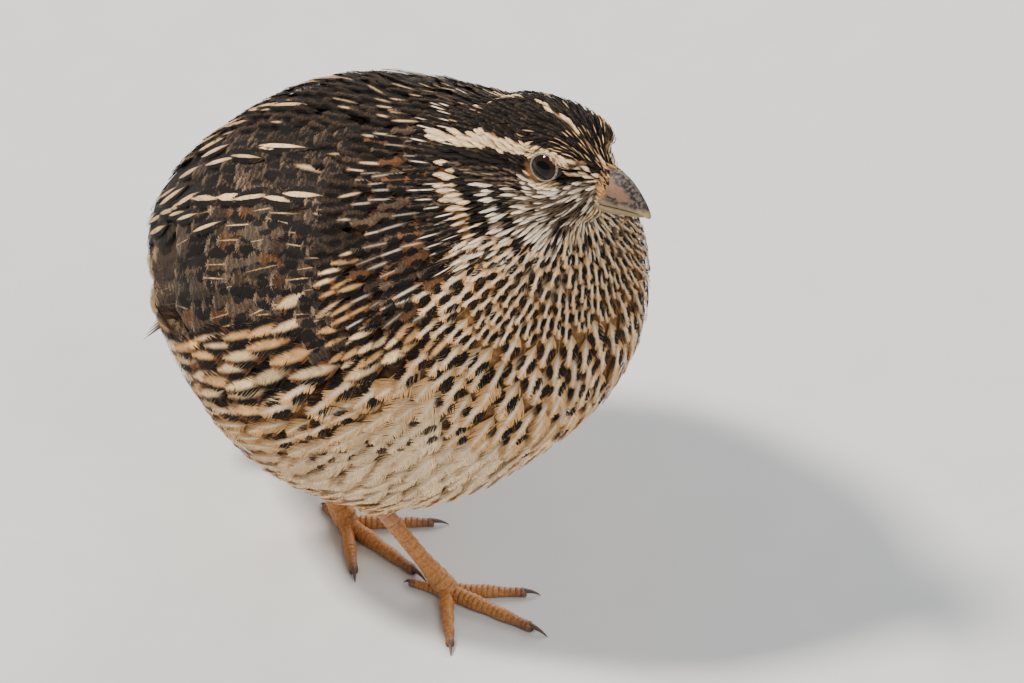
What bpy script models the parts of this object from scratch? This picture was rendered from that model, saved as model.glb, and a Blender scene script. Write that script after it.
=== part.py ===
"""A standing coturnix quail in closed solids: trunk, neck, head, bill, eyes, wings, tail, legs and toes.

The bird faces +X, its left side is +Y and its toes stand on z = 0. Lengths are in millimetres, measured
from the middle of the trunk, and make_node turns them into metres above the floor.
"""

import math

import bmesh
import bpy
import numpy as np

for old in list(bpy.data.objects):
    bpy.data.objects.remove(old)

GAP = 0.3
TRUNK_HEIGHT = 73.4
TRUNK_PITCH = 30.0
TRUNK_ORIGIN = np.array([-4.0, 0.0, -2.0])
RUMP_RISE = 11.0

# Plumage forms: forward, up, half length, half height, half width, pitch in degrees, offset to the side.
BELLY = (-4.4, -2.1, 47.8, 48.4, 46.8, 30.5, 0.0)
BREAST = (20.9, 13.3, 39.4, 39.4, 38.6, 30.0, 0.0)
RUMP = (-34.8, -4.6, 34.1, 27.3, 27.3, 34.0, 0.0)
NECK = (31.4, 37.4, 19.7, 25.4, 18.1, 66.0, 0.0)
CRANIUM = (42.8, 57.9, 15.9, 10.7, 10.6, -3.0, 0.0)
MUZZLE = (54.6, 56.6, 9.6, 6.2, 5.6, -18.0, 0.0)
CHIN = (52.5, 51.0, 8.0, 5.0, 5.5, -8.0, 0.0)
CHEEK = (47.0, 52.5, 10.0, 8.0, 7.6, 0.0, 4.4)
BROW = (50.0, 63.6, 7.2, 2.0, 3.0, -10.0, 6.2)

NECK_CUT = 55.3
HEAD_CUT = 65.3
CUT_PITCH = 50.0
TAIL_CUT = -49.0
BILL_FACE = 61.6

WING_RECESS = 5.4
CORE_LIFT = GAP + 0.35
VANE = 0.55
EYE_RADIUS = 4.3
EYE = (50.4, 6.7, 60.3)
EYE_OPENING = 3.15

# Legs: the ball of the foot and the ankle of each leg, from the trunk's middle.
LEGS = {
    "right": {"side": -1, "ball": (15.9, -2.6), "way": (-0.60, -0.25, 0.76), "length": 27.0},
    "left": {"side": 1, "ball": (-17.8, 1.6), "way": (-0.65, 0.03, 0.76), "length": 28.0},
}
BALL_LIFT = 2.3
CROWN_BROWN = (0.055, 0.037, 0.024)
BACK_BROWN = (0.075, 0.048, 0.030)
BREAST_BUFF = (0.50, 0.36, 0.21)
NECK_BUFF = (0.36, 0.27, 0.17)
WING_BROWN = (0.135, 0.090, 0.056)
TAIL_BROWN = (0.115, 0.075, 0.045)
THIGH_CREAM = (0.56, 0.46, 0.32)
BILL_GREY = (0.155, 0.115, 0.095)
BILL_PALE = (0.30, 0.22, 0.16)
EYE_DARK = (0.030, 0.014, 0.008)
LEG_TAN = (0.46, 0.235, 0.105)


def direction(pitch):
    """The forward and the upward unit vector of a frame pitched nose up by that many degrees."""
    a = math.radians(pitch)
    return np.array([math.cos(a), 0.0, math.sin(a)]), np.array([-math.sin(a), 0.0, math.cos(a)])


TRUNK_AXIS, TRUNK_UP = direction(TRUNK_PITCH)
CUT_AXIS, CUT_UP = direction(CUT_PITCH)


def smooth(t):
    t = np.clip(t, 0.0, 1.0)
    return t * t * (3 - 2 * t)


def form(p, shape, side=1):
    """Near distance from points p to one plumage form, negative inside it."""
    forward, up, length, height, width, pitch, offset = shape
    axis, rise = direction(pitch)
    q = p - np.array([forward, side * offset, up])
    x, y, z = q @ axis, q[..., 1], q @ rise
    k = np.sqrt((x / length) ** 2 + (y / width) ** 2 + (z / height) ** 2) + 1e-9
    g = np.sqrt((x / length**2) ** 2 + (y / width**2) ** 2 + (z / height**2) ** 2) + 1e-9
    return k * (k - 1) / g


def blend(fields, width):
    fields = np.array(fields)
    low = fields.min(0)
    return low - width * np.log(np.exp((low - fields) / width).sum(0))


def plumage(p):
    """The outer surface of the feathered body and head."""
    trunk = blend([form(p, s) for s in (BELLY, BREAST, RUMP, NECK)], 5.0)
    face = [form(p, CRANIUM), form(p, MUZZLE), form(p, CHIN)]
    for side in (1, -1):
        face.append(form(p, CHEEK, side))
        face.append(form(p, BROW, side))
    return blend([trunk, blend(face, 1.3)], 2.5)


def axis_point(s):
    """Where the trunk's own axis is, s mm ahead of its origin. Towards the rump it rises."""
    rise = RUMP_RISE * smooth((-np.asarray(s, float) - 10) / 50)
    return TRUNK_ORIGIN + np.multiply.outer(s, TRUNK_AXIS) + np.multiply.outer(rise, TRUNK_UP)


def trunk_coordinates(p):
    """Station along the trunk, and the angle round it from the spine in degrees."""
    q = p - TRUNK_ORIGIN
    s = q @ TRUNK_AXIS
    u = q @ TRUNK_UP - RUMP_RISE * smooth((-s - 10) / 50)
    return s, np.degrees(np.arctan2(np.abs(p[..., 1]), u))


def trunk_skin(p):
    """The plumage with the place of the folded wings taken out of its sides."""
    s, angle = trunk_coordinates(p)
    place = smooth((angle - 3) / 14) * smooth((106 - angle) / 20) * smooth((36 - s) / 11) * smooth((s + 60) / 22)
    return plumage(p) + WING_RECESS * place


def gradient(field, p):
    step = 0.25
    parts = [field(p + step * e) - field(p - step * e) for e in np.eye(3)]
    return np.stack(parts, -1) / (2 * step)


def rest_on(field, p, height=0.0):
    """Points moved along the field's slope until they are that far outside its surface."""
    for _ in range(6):
        g = gradient(field, p)
        miss = field(p) - height
        p = p - (miss / ((g * g).sum(-1) + 1e-9))[..., None] * g
    return p


def shoot(field, origins, ways, far=80.0):
    """The outermost point of the surface along each ray."""
    steps = np.arange(far, 0.0, -1.0)
    values = np.stack([field(origins + t * ways) for t in steps])
    first = np.argmax(values < 0, axis=0)
    inner = steps[first]
    outer = inner + 1.0
    for _ in range(24):
        middle = (inner + outer) / 2
        inside = field(origins + middle[..., None] * ways) < 0
        inner = np.where(inside, middle, inner)
        outer = np.where(inside, outer, middle)
    return origins + inner[..., None] * ways


def ring_ways(pitch, count):
    rise = direction(pitch)[1]
    a = np.arange(count) * 2 * math.pi / count
    return np.multiply.outer(np.cos(a), rise) + np.multiply.outer(np.sin(a), np.array([0.0, 1.0, 0.0]))


def lofted(rings):
    """Closed mesh over rings of equal count. A ring of one point is a pole, and any other end is capped."""
    points = []
    starts = []
    for ring in rings:
        starts.append(len(points))
        points.extend(np.atleast_2d(ring))
    faces = []
    for i in range(len(rings) - 1):
        a, b = starts[i], starts[i + 1]
        na, nb = len(np.atleast_2d(rings[i])), len(np.atleast_2d(rings[i + 1]))
        count = max(na, nb)
        for j in range(count):
            k = (j + 1) % count
            if na == 1:
                faces.append((a, b + k, b + j))
            elif nb == 1:
                faces.append((a + j, a + k, b))
            else:
                faces.append((a + j, a + k, b + k))
                faces.append((a + j, b + k, b + j))
    for end, flip in ((0, True), (len(rings) - 1, False)):
        ring = np.atleast_2d(rings[end])
        if len(ring) > 1:
            loop = list(range(starts[end], starts[end] + len(ring)))
            faces.append(tuple(reversed(loop)) if flip else tuple(loop))
    return np.array(points), faces


def mesh_of(name, solid):
    points, faces = solid
    mesh = bpy.data.meshes.new(name)
    mesh.from_pydata([tuple(p) for p in points], [], faces)
    bm = bmesh.new()
    bm.from_mesh(mesh)
    bmesh.ops.recalc_face_normals(bm, faces=bm.faces)
    if bm.calc_volume(signed=True) < 0:
        bmesh.ops.reverse_faces(bm, faces=bm.faces)
    bm.to_mesh(mesh)
    bm.free()
    return mesh


def placed(name, mesh):
    obj = bpy.data.objects.new(name, mesh)
    bpy.context.scene.collection.objects.link(obj)
    return obj


def largest_body(bm):
    """Leaves the largest closed surface of a mesh."""
    left = set(bm.verts)
    groups = []
    while left:
        group = set()
        edge = [left.pop()]
        while edge:
            v = edge.pop()
            group.add(v)
            near = {e.other_vert(v) for e in v.link_edges} & left
            left -= near
            edge.extend(near)
        groups.append(group)
    groups.sort(key=len)
    for group in groups[:-1]:
        bmesh.ops.delete(bm, geom=list(group), context="VERTS")


def combined(name, first, others, operation, flatten=0.0):
    """One closed mesh: first with the others joined to it or cut from it."""
    base = placed(name, mesh_of(name, first) if isinstance(first, tuple) else first)
    group = bpy.data.collections.new(name + "_parts")
    helpers = []
    for i, solid in enumerate(others):
        mesh = mesh_of(f"{name}_{i}", solid) if isinstance(solid, tuple) else solid
        helper = bpy.data.objects.new(f"{name}_{i}", mesh)
        group.objects.link(helper)
        helpers.append(helper)
    bpy.context.scene.collection.children.link(group)
    joint = base.modifiers.new("combine", "BOOLEAN")
    joint.operation = operation
    joint.operand_type = "COLLECTION"
    joint.collection = group
    joint.solver = "MANIFOLD"
    graph = bpy.context.evaluated_depsgraph_get()
    mesh = bpy.data.meshes.new_from_object(base.evaluated_get(graph))
    for helper in helpers:
        bpy.data.objects.remove(helper)
    bpy.data.collections.remove(group)
    bpy.data.objects.remove(base)
    bm = bmesh.new()
    bm.from_mesh(mesh)
    bmesh.ops.remove_doubles(bm, verts=bm.verts, dist=0.004)
    if flatten:
        limit = math.radians(flatten)
        bmesh.ops.dissolve_limit(bm, angle_limit=limit, use_dissolve_boundaries=False, verts=bm.verts, edges=bm.edges)
    bmesh.ops.triangulate(bm, faces=bm.faces)
    largest_body(bm)
    bm.to_mesh(mesh)
    bm.free()
    return mesh


def sliced(mesh, point, normal):
    """The part of a closed mesh behind a plane, closed again by a flat face."""
    bm = bmesh.new()
    bm.from_mesh(mesh)
    geometry = list(bm.verts) + list(bm.edges) + list(bm.faces)
    bmesh.ops.bisect_plane(bm, geom=geometry, dist=1e-4, plane_co=point, plane_no=normal, clear_outer=True)
    rim = [e for e in bm.edges if len(e.link_faces) == 1]
    bmesh.ops.holes_fill(bm, edges=rim, sides=0)
    bmesh.ops.triangulate(bm, faces=bm.faces)
    bm.to_mesh(mesh)
    bm.free()
    return mesh


NODES = []


def make_node(name, mesh, colour, roughness):
    """A node from a mesh in millimetres about the trunk's middle. stand_on_floor puts it in metres."""
    mesh.name = name
    obj = placed(name, mesh)
    mesh.polygons.foreach_set("use_smooth", [True] * len(mesh.polygons))
    material = bpy.data.materials.new(name)
    material.use_nodes = True
    shader = material.node_tree.nodes["Principled BSDF"]
    shader.inputs["Base Color"].default_value = (*colour, 1.0)
    shader.inputs["Roughness"].default_value = roughness
    mesh.materials.clear()
    mesh.materials.append(material)
    NODES.append(obj)
    return obj


def mirrored(solid):
    points, faces = solid
    return np.array(points) * [1, -1, 1], [tuple(reversed(f)) for f in faces]


# Trunk, neck and head

def trunk_rings(stations, field, count):
    """Rings across the trunk, and from station 14 forward fanning up to the pitch of the neck."""
    rings = []
    for s in stations:
        centre = axis_point(s)
        rings.append(shoot(field, np.tile(centre, (count, 1)), ring_ways(TRUNK_PITCH, count)))
    return rings


def fan_rings(count, steps, cut):
    """Rings between the last straight station and the neck's cut."""
    d0 = TRUNK_AXIS @ axis_point(FAN_START)
    matrix = np.array([[TRUNK_AXIS[0], TRUNK_AXIS[2]], [CUT_AXIS[0], CUT_AXIS[2]]])
    pivot = np.linalg.solve(matrix, [d0, cut])
    rings = []
    start = axis_point(FAN_START)
    finish = CUT_AXIS * cut + CUT_UP * 2.0
    for k in range(1, steps + 1):
        t = k / steps
        pitch = TRUNK_PITCH + (CUT_PITCH - TRUNK_PITCH) * t
        axis, rise = direction(pitch)
        guess = start * (1 - t) + finish * t
        off = axis[0] * (guess[0] - pivot[0]) + axis[2] * (guess[2] - pivot[1])
        centre = guess - axis * off
        rings.append(shoot(trunk_skin, np.tile(centre, (count, 1)), ring_ways(pitch, count)))
    return rings


FAN_START = 14.0
RING = 40
tail_pole = shoot(plumage, axis_point(-45.0)[None], -TRUNK_AXIS[None])[0]
tail_length = (tail_pole - TRUNK_ORIGIN) @ TRUNK_AXIS


def make_trunk():
    stations = np.concatenate([[TAIL_CUT], np.linspace(-45.5, FAN_START, 12)])
    rings = trunk_rings(stations, trunk_skin, RING) + fan_rings(RING, 8, NECK_CUT - GAP / 2)
    sockets = [thigh_form(leg, GAP) for leg in LEGS.values()]
    mesh = combined("torso", lofted(rings), sockets, "DIFFERENCE")
    make_node("torso", mesh, BREAST_BUFF, 0.9)


def head_rings(cuts, count):
    rings = []
    for d in cuts:
        up = 3.0 - 6.0 * smooth((d - 60.0) / 18.0)
        centre = CUT_AXIS * d + CUT_UP * up
        rings.append(shoot(plumage, np.tile(centre, (count, 1)), ring_ways(CUT_PITCH, count), 60.0))
    return rings


def make_neck():
    rings = head_rings(np.linspace(NECK_CUT + GAP / 2, HEAD_CUT - GAP / 2, 4), RING)
    make_node("neck", mesh_of("neck", lofted(rings)), NECK_BUFF, 0.9)


def ball(centre, radius, across=20, down=12, squash=(1, 1, 1)):
    rings = [np.array([[0.0, 0.0, radius]])]
    for i in range(1, down):
        a = math.pi * i / down
        b = np.arange(across) * 2 * math.pi / across
        ring = [np.sin(a) * np.cos(b), np.sin(a) * np.sin(b), np.full(across, math.cos(a))]
        rings.append(radius * np.stack(ring, -1))
    rings.append(np.array([[0.0, 0.0, -radius]]))
    points, faces = lofted(rings)
    return points * squash + np.array(centre), faces


def lid(side):
    """A raised ring round the eye, leaning with the side of the head."""
    centre = np.array([EYE[0], side * EYE[1], EYE[2]])
    n = gradient(plumage, np.array([[EYE[0], side * 10.0, EYE[2]]]))[0]
    n = n / np.linalg.norm(n)
    u = np.cross(n, [0, 0, 1.0])
    u = u / np.linalg.norm(u)
    v = np.cross(u, n)
    rise = math.sqrt((EYE_RADIUS + 0.3) ** 2 - EYE_OPENING**2)
    tube = 6
    around = 16
    rings = []
    for i in range(around):
        a = 2 * math.pi * i / around
        way = math.cos(a) * u + math.sin(a) * v
        b = np.arange(tube) * 2 * math.pi / tube
        ring = np.multiply.outer(EYE_OPENING + 0.55 + 0.62 * np.cos(b), way)
        ring = ring + np.multiply.outer(rise + 0.45 * np.sin(b), n) + centre
        rings.append(ring)
    points = np.concatenate(rings)
    faces = []
    for i in range(around):
        for j in range(tube):
            a, b = i * tube + j, ((i + 1) % around) * tube + j
            c, d = ((i + 1) % around) * tube + (j + 1) % tube, i * tube + (j + 1) % tube
            faces.append((a, b, c))
            faces.append((a, c, d))
    return points, faces


HEAD_SHARES = np.array([0, 0.12, 0.23, 0.34, 0.45, 0.56, 0.66, 0.75, 0.83, 0.9, 0.96])


def make_head():
    top = shoot(plumage, (CUT_AXIS * 76.0 - CUT_UP * 3.0)[None], CUT_AXIS[None], 40.0)[0]
    reach = top @ CUT_AXIS
    cuts = HEAD_CUT + GAP / 2 + (reach - HEAD_CUT) * HEAD_SHARES
    rings = head_rings(cuts, 36) + [top[None]]
    mesh = combined("head", lofted(rings), [lid(1), lid(-1)], "UNION")
    sockets = [ball((EYE[0], side * EYE[1], EYE[2]), EYE_RADIUS + 0.3, 16, 10) for side in (1, -1)]
    mesh = combined("head", mesh, sockets, "DIFFERENCE", 3.0)
    mesh = sliced(mesh, (BILL_FACE, 0, 0), (1, 0, 0))
    make_node("head", mesh, CROWN_BROWN, 0.9)


def make_eyes():
    for side, name in ((1, "eye_left"), (-1, "eye_right")):
        mesh = mesh_of(name, ball((EYE[0], side * EYE[1], EYE[2]), EYE_RADIUS, 16, 8))
        make_node(name, mesh, EYE_DARK, 0.15)


# Bill: stations forward, with the height of its upper and its lower edge and its half width.
UPPER_BILL = (
    (61.9, 60.4, 53.15, 3.55),
    (63.4, 60.7, 53.4, 3.35),
    (65.0, 60.6, 53.6, 3.05),
    (66.8, 60.0, 53.75, 2.6),
    (68.6, 58.9, 53.8, 2.1),
    (70.3, 57.4, 53.75, 1.65),
    (71.8, 55.8, 53.5, 1.15),
    (73.0, 54.2, 52.9, 0.6),
)
LOWER_BILL = (
    (61.9, 52.75, 49.6, 3.3),
    (64.0, 53.0, 50.1, 2.9),
    (66.4, 53.2, 50.8, 2.3),
    (68.8, 53.25, 51.4, 1.65),
    (70.8, 53.2, 52.0, 1.0),
    (71.7, 53.0, 52.4, 0.5),
)


BILL_SIDES = 14


def bill_rings(stations, upper):
    """Half rounds: the upper bill's flat side is below, the lower bill's is above."""
    way = 1 if upper else -1
    rings = []
    for x, top, bottom, half in stations:
        ring = []
        for j in range(BILL_SIDES):
            a = 2 * math.pi * j / BILL_SIDES
            rise = way * math.cos(a)
            flat, arch = (bottom, top) if upper else (top, bottom)
            z = flat + (arch - flat) * rise**0.9 if rise > 0 else flat + way * 0.1 * rise
            ring.append((x, half * math.sin(a), z))
        rings.append(np.array(ring))
    return rings


def make_bill():
    upper = lofted(bill_rings(UPPER_BILL, True))
    flaps = []
    for side in (1, -1):
        flaps.append(ball((64.0, side * 2.35, 57.0), 1.0, 12, 8, (2.3, 1.05, 1.25)))
    mesh = combined("bill_upper", upper, flaps, "UNION")
    slots = [ball((64.9, side * 3.35, 56.0), 1.0, 10, 6, (1.7, 0.85, 0.42)) for side in (1, -1)]
    mesh = combined("bill_upper", mesh, slots, "DIFFERENCE")
    mesh = sliced(mesh, (61.9, 0, 0), (-1, 0, 0))
    make_node("bill_upper", mesh, BILL_GREY, 0.45)
    make_node("bill_lower", mesh_of("bill_lower", lofted(bill_rings(LOWER_BILL, False))), BILL_PALE, 0.45)


# Feathers

OUTLINE = ((0.0, 0.42), (0.26, 0.86), (0.55, 1.0), (0.82, 0.78), (1.0, 0.26))


def vane(field, root, heading, length, width, start, lift, roll=0.0, turn=0.0, camber=0.1, tip_lift=0.0):
    """One feather laid over a surface. It starts at height start and is carried at height lift.

    roll raises its right edge, as seen from its root, and turn bends it that many degrees to the left.
    """
    stations = []
    p = rest_on(field, np.array([root], float))[0]
    way = np.array(heading, float)
    last = 0.0
    for t, share in OUTLINE:
        steps = max(1, int((t - last) * length / 3.0))
        for _ in range(steps if t > 0 else 0):
            p = p + way * (t - last) * length / steps
            p = rest_on(field, p[None])[0]
            n = gradient(field, p[None])[0]
            n /= np.linalg.norm(n)
            way = way - (way @ n) * n
            way /= np.linalg.norm(way)
            angle = math.radians(turn) * (t - last) / steps
            way = way * math.cos(angle) + np.cross(n, way) * math.sin(angle)
        if t == 0:
            n = gradient(field, p[None])[0]
            n /= np.linalg.norm(n)
            way = way - (way @ n) * n
            way /= np.linalg.norm(way)
        stations.append((t, share, p.copy(), way.copy(), np.cross(n, way)))
        last = t
    rings = []
    for t, share, p, way, left in stations:
        half = width / 2 * share
        height = start + (lift - start) * float(smooth(t / 0.4)) + tip_lift * t**3
        thick = VANE * (1.0 if t < 0.9 else 0.62)
        ring = []
        for across, face in ((1, 1), (0, 1), (-1, 1), (-1, -1), (0, -1), (1, -1)):
            h = height - roll * across * share * float(smooth(t / 0.3))
            h += camber * half * (1 - abs(across)) + face * thick / 2
            ring.append(rest_on(field, (p + left * half * across)[None], h)[0])
        rings.append(np.array(ring))
    return feather_mesh(rings)


def feather_mesh(rings):
    """Both faces of a vane get the same diagonals, so that it keeps its thickness."""
    points = np.concatenate(rings)
    faces = []
    for i in range(len(rings) - 1):
        a, b = 6 * i, 6 * (i + 1)
        for j, k in ((0, 1), (1, 2)):
            faces.append((a + j, b + j, b + k))
            faces.append((a + j, b + k, a + k))
        for j, k in ((5, 4), (4, 3)):
            faces.append((a + j, b + k, b + j))
            faces.append((a + j, a + k, b + k))
        for j, k in ((2, 3), (5, 0)):
            faces.append((a + j, b + j, b + k))
            faces.append((a + j, b + k, a + k))
    for base, flip in ((0, False), (6 * (len(rings) - 1), True)):
        for f in ((0, 1, 4), (0, 4, 5), (1, 2, 3), (1, 3, 4)):
            face = tuple(base + v for v in f)
            faces.append(tuple(reversed(face)) if flip else face)
    return points, faces


def surface_point(field, s, angle, side=1):
    a = math.radians(angle)
    way = TRUNK_UP * math.cos(a) + np.array([0.0, side, 0.0]) * math.sin(a)
    return shoot(field, axis_point(s)[None], way[None])[0]


def wing_span(s):
    """The angles of the wing core's upper and lower edge at a station."""
    top = 17.0 + 8.0 * smooth((-s - 5) / 30)
    low = 60.0 + 14.0 * smooth((30 - s) / 45) + 6.0 * smooth((-s - 10) / 25)
    return top, low


def core_thickness(s):
    return 0.9 + 2.0 * float(smooth((s + 34) / 50))


def wing_core():
    """The folded wing's arm: a curved plate over the trunk, thinner towards its edges and its rear."""
    stations = np.linspace(-27, 31, 11)
    across = np.linspace(0, 1, 7)
    outer, inner = [], []
    for i, s in enumerate(stations):
        top, low = wing_span(s)
        end = float(smooth((31 - s) / 9)) ** 0.5
        middle = (top + low) / 2
        angles = middle + (top - middle) * (0.35 + 0.65 * end) + (low - top) * (0.35 + 0.65 * end) * across
        a = np.radians(angles)
        ways = np.multiply.outer(np.cos(a), TRUNK_UP) + np.multiply.outer(np.sin(a), np.array([0.0, 1.0, 0.0]))
        base = shoot(trunk_skin, np.tile(axis_point(s), (len(a), 1)), ways)
        rim = smooth(np.minimum(across, 1 - across) / 0.2) * (0.3 + 0.7 * end)
        inner.append(rest_on(trunk_skin, base, np.full(len(a), CORE_LIFT)))
        outer.append(rest_on(trunk_skin, base, CORE_LIFT + 0.55 + (core_thickness(s) - 0.55) * rim))
    return plate_mesh(inner, outer)


def plate_mesh(inner, outer):
    """A closed plate from two grids of points, with the same diagonals on both."""
    rows, columns = len(inner), len(inner[0])
    points = np.concatenate([np.concatenate(outer), np.concatenate(inner)])
    size = rows * columns
    faces = []
    for i in range(rows - 1):
        for j in range(columns - 1):
            a, b = i * columns + j, i * columns + j + 1
            c, d = (i + 1) * columns + j + 1, (i + 1) * columns + j
            faces.extend([(a, b, c), (a, c, d)])
            faces.extend([(size + a, size + c, size + b), (size + a, size + d, size + c)])
    rim = [j for j in range(columns)]
    rim += [i * columns + columns - 1 for i in range(1, rows)]
    rim += [(rows - 1) * columns + j for j in range(columns - 2, -1, -1)]
    rim += [i * columns for i in range(rows - 2, 0, -1)]
    for k, a in enumerate(rim):
        b = rim[(k + 1) % len(rim)]
        faces.extend([(a, size + a, size + b), (a, size + b, b)])
    return points, faces


# Rows of the wing: first and last angle, station of the first and last root, count, length, width, height, roll.
WING_ROWS = (
    ("primaries", 62, 83, -14, -22, 5, 38, 7.6, 2.25, 0.8, -5),
    ("secondaries", 47, 55, -9, -11, 2, 33, 8.4, 2.75, 0.6, -2),
    ("tertials", 22, 40, -4, -8, 3, 38, 10.5, 3.3, 0.64, 2),
    ("greater_coverts", 50, 74, 3, 3, 4, 22, 8.4, 3.65, 0.6, -2),
    ("median_coverts", 50, 74, 14, 14, 4, 18, 8.4, 4.3, 0.6, -2),
    ("lesser_coverts", 52, 68, 24.5, 24.5, 3, 15, 8.4, 4.9, 0.6, -2),
    ("scapulars_rear", 18, 38, -12, -12, 3, 30, 12.0, 4.4, 0.6, 2),
    ("scapulars_middle", 18, 38, 4, 4, 3, 30, 12.0, 4.95, 0.6, 1),
    ("scapulars_front", 17, 38, 22, 22, 3, 30, 12.0, 5.4, 0.6, 0),
)


def wing_feathers():
    feathers = []
    for name, a0, a1, s0, s1, count, length, width, lift, roll, turn in WING_ROWS:
        for k in range(count):
            t = k / (count - 1)
            s, angle = s0 + (s1 - s0) * t, a0 + (a1 - a0) * t
            root = surface_point(trunk_skin, s, angle)
            start = CORE_LIFT + core_thickness(s) - 0.15
            own = length
            if name == "primaries":
                own = length + 6.0 * math.sin(math.pi * t)
            feathers.append(vane(trunk_skin, root, -TRUNK_AXIS, own, width, start, lift, roll, turn))
    return feathers


def make_wings():
    left = [wing_core(), *wing_feathers()]
    for name, solids in (("wing_left", left), ("wing_right", [mirrored(s) for s in left])):
        mesh = combined(name, solids[0], solids[1:], "UNION", 4.0)
        make_node(name, mesh, WING_BROWN, 0.85)


def straight_vane(root, way, left, length, width, droop=8.0, roll=0.0, camber=0.08, share_at_root=1.0):
    """A feather in free air, bending down by droop degrees along its length."""
    way = np.array(way, float) / np.linalg.norm(way)
    left = np.array(left, float)
    left = left - (left @ way) * way
    left /= np.linalg.norm(left)
    n = np.cross(way, left)
    p = np.array(root, float)
    rings = []
    last = 0.0
    for t, share in OUTLINE:
        p = p + way * (t - last) * length
        angle = math.radians(droop) * (t - last)
        way, n = way * math.cos(angle) - n * math.sin(angle), n * math.cos(angle) + way * math.sin(angle)
        last = t
        half = width / 2 * share
        thick = VANE * (1.0 if t < 0.9 else 0.62)
        ring = []
        for across, face in ((1, 1), (0, 1), (-1, 1), (-1, -1), (0, -1), (1, -1)):
            h = roll * across * share + camber * half * (1 - abs(across)) + face * thick / 2
            ring.append(p + left * half * across + n * h)
        rings.append(np.array(ring))
    return feather_mesh(rings)


TAIL_PAIRS = 4
TAIL_LAYER = 0.9


def make_tail():
    stations = [TAIL_CUT - GAP, -52.0, -54.8, -57.4, -59.4]
    stations = [s for s in stations if s > tail_length + 0.5]
    rings = trunk_rings(stations[::-1], trunk_skin, 32)
    pole = shoot(trunk_skin, axis_point(-45.0)[None], -TRUNK_AXIS[None])
    core = lofted([pole] + rings)
    base = axis_point(-51.0) - TRUNK_UP * 1.0
    back = -TRUNK_AXIS * math.cos(math.radians(14)) - TRUNK_UP * math.sin(math.radians(14))
    over = np.cross(back, np.array([0.0, -1.0, 0.0]))
    feathers = []
    for k in range(TAIL_PAIRS):
        for side in (1, -1):
            across = 2.2 + 4.0 * k
            depth = TAIL_LAYER * k + (TAIL_LAYER if side < 0 else 0)
            spread = math.radians(3.0 + 3.0 * k) * side
            way = back * math.cos(spread) + np.array([0.0, 1.0, 0.0]) * math.sin(spread)
            root = base + np.array([0.0, side * across * 0.5, 0.0]) - over * depth
            left = np.array([0.0, -1.0, 0.0])
            feathers.append(straight_vane(root, way, left, 27.0 - 0.9 * k, 7.4, 10.0))
    for k in range(3):
        side = k - 1
        root = base + np.array([0.0, side * 4.2, 0.0]) + over * (2.2 - 1.0 * abs(side))
        spread = math.radians(4.0) * side
        way = back * math.cos(spread) + np.array([0.0, 1.0, 0.0]) * math.sin(spread)
        left = np.array([0.0, -1.0, 0.0])
        feathers.append(straight_vane(root, way, left, 19.0 - abs(side), 9.0, 12.0, 0.5 * side, 0.14))
    mesh = combined("tail", core, feathers, "UNION", 3.0)
    make_node("tail", mesh, TAIL_BROWN, 0.85)


# Toes: length with claw, half width, angle out from the bird's heading, joints, start from the ball's middle.
TOES = (
    ("1", 10.5, 1.15, 165.0, 1, 3.75),
    ("2", 21.0, 1.35, -42.0, 2, 4.7),
    ("3", 27.5, 1.45, -7.0, 3, 3.75),
    ("4", 23.0, 1.3, 45.0, 4, 3.75),
)


def frame_along(way, hint=(1.0, 0.0, 0.0)):
    """Front and left unit vectors across a limb."""
    way = np.array(way, float) / np.linalg.norm(way)
    front = np.array(hint, float) - (np.array(hint) @ way) * way
    front /= np.linalg.norm(front)
    return way, front, np.cross(way, front)


def leg_points(leg):
    x, y = leg["ball"]
    ball_point = np.array([x, y, -TRUNK_HEIGHT + BALL_LIFT])
    way = np.array(leg["way"]) / np.linalg.norm(leg["way"])
    return ball_point, ball_point + way * leg["length"], way


def limb_ring(centre, front, left, ahead, across, count=12, ridge=0.0):
    a = np.arange(count) * 2 * math.pi / count
    lift = 1 + ridge * np.maximum(np.cos(a), 0) ** 0.5
    ring = np.multiply.outer(ahead * np.cos(a) * lift, front) + np.multiply.outer(across * np.sin(a), left)
    return ring + centre


def make_shank(name, leg):
    ball_point, ankle, way = leg_points(leg)
    way, front, left = frame_along(way)
    rings = []
    scutes = 10
    for i in range(scutes):
        for share, ridge in ((0.0, 0.15), (0.8, 0.02)):
            t = (i + share) / scutes
            along = 1.2 + (leg["length"] - 1.2 - GAP) * t
            waist = 1.0 + 0.22 * (1 - float(smooth(t / 0.22))) + 0.38 * float(smooth((t - 0.82) / 0.18))
            rings.append(limb_ring(ball_point + way * along, front, left, 1.95 * waist, 1.62 * waist, 10, ridge))
    limb = lofted(rings)
    pad = ball((0, 0, 0), 1.0, 12, 6)
    pad = (pad[0] * [3.3, 3.0, 2.5] + ball_point - [0, 0, 0.1], pad[1])
    out = math.radians(TOES[1][3]) * leg["side"]
    lobe = ball((0, 0, 0), 1.0, 8, 5)
    reach = np.array([math.cos(out), math.sin(out), 0.0]) * 3.2
    lobe = (lobe[0] * [1.15, 1.15, 1.5] + ball_point + reach - [0, 0, 0.8], lobe[1])
    mesh = combined(name, limb, [pad, lobe], "UNION")
    mesh = sliced(mesh, (0, 0, -TRUNK_HEIGHT), (0, 0, -1))
    make_node(name, mesh, LEG_TAN, 0.5)


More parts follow.
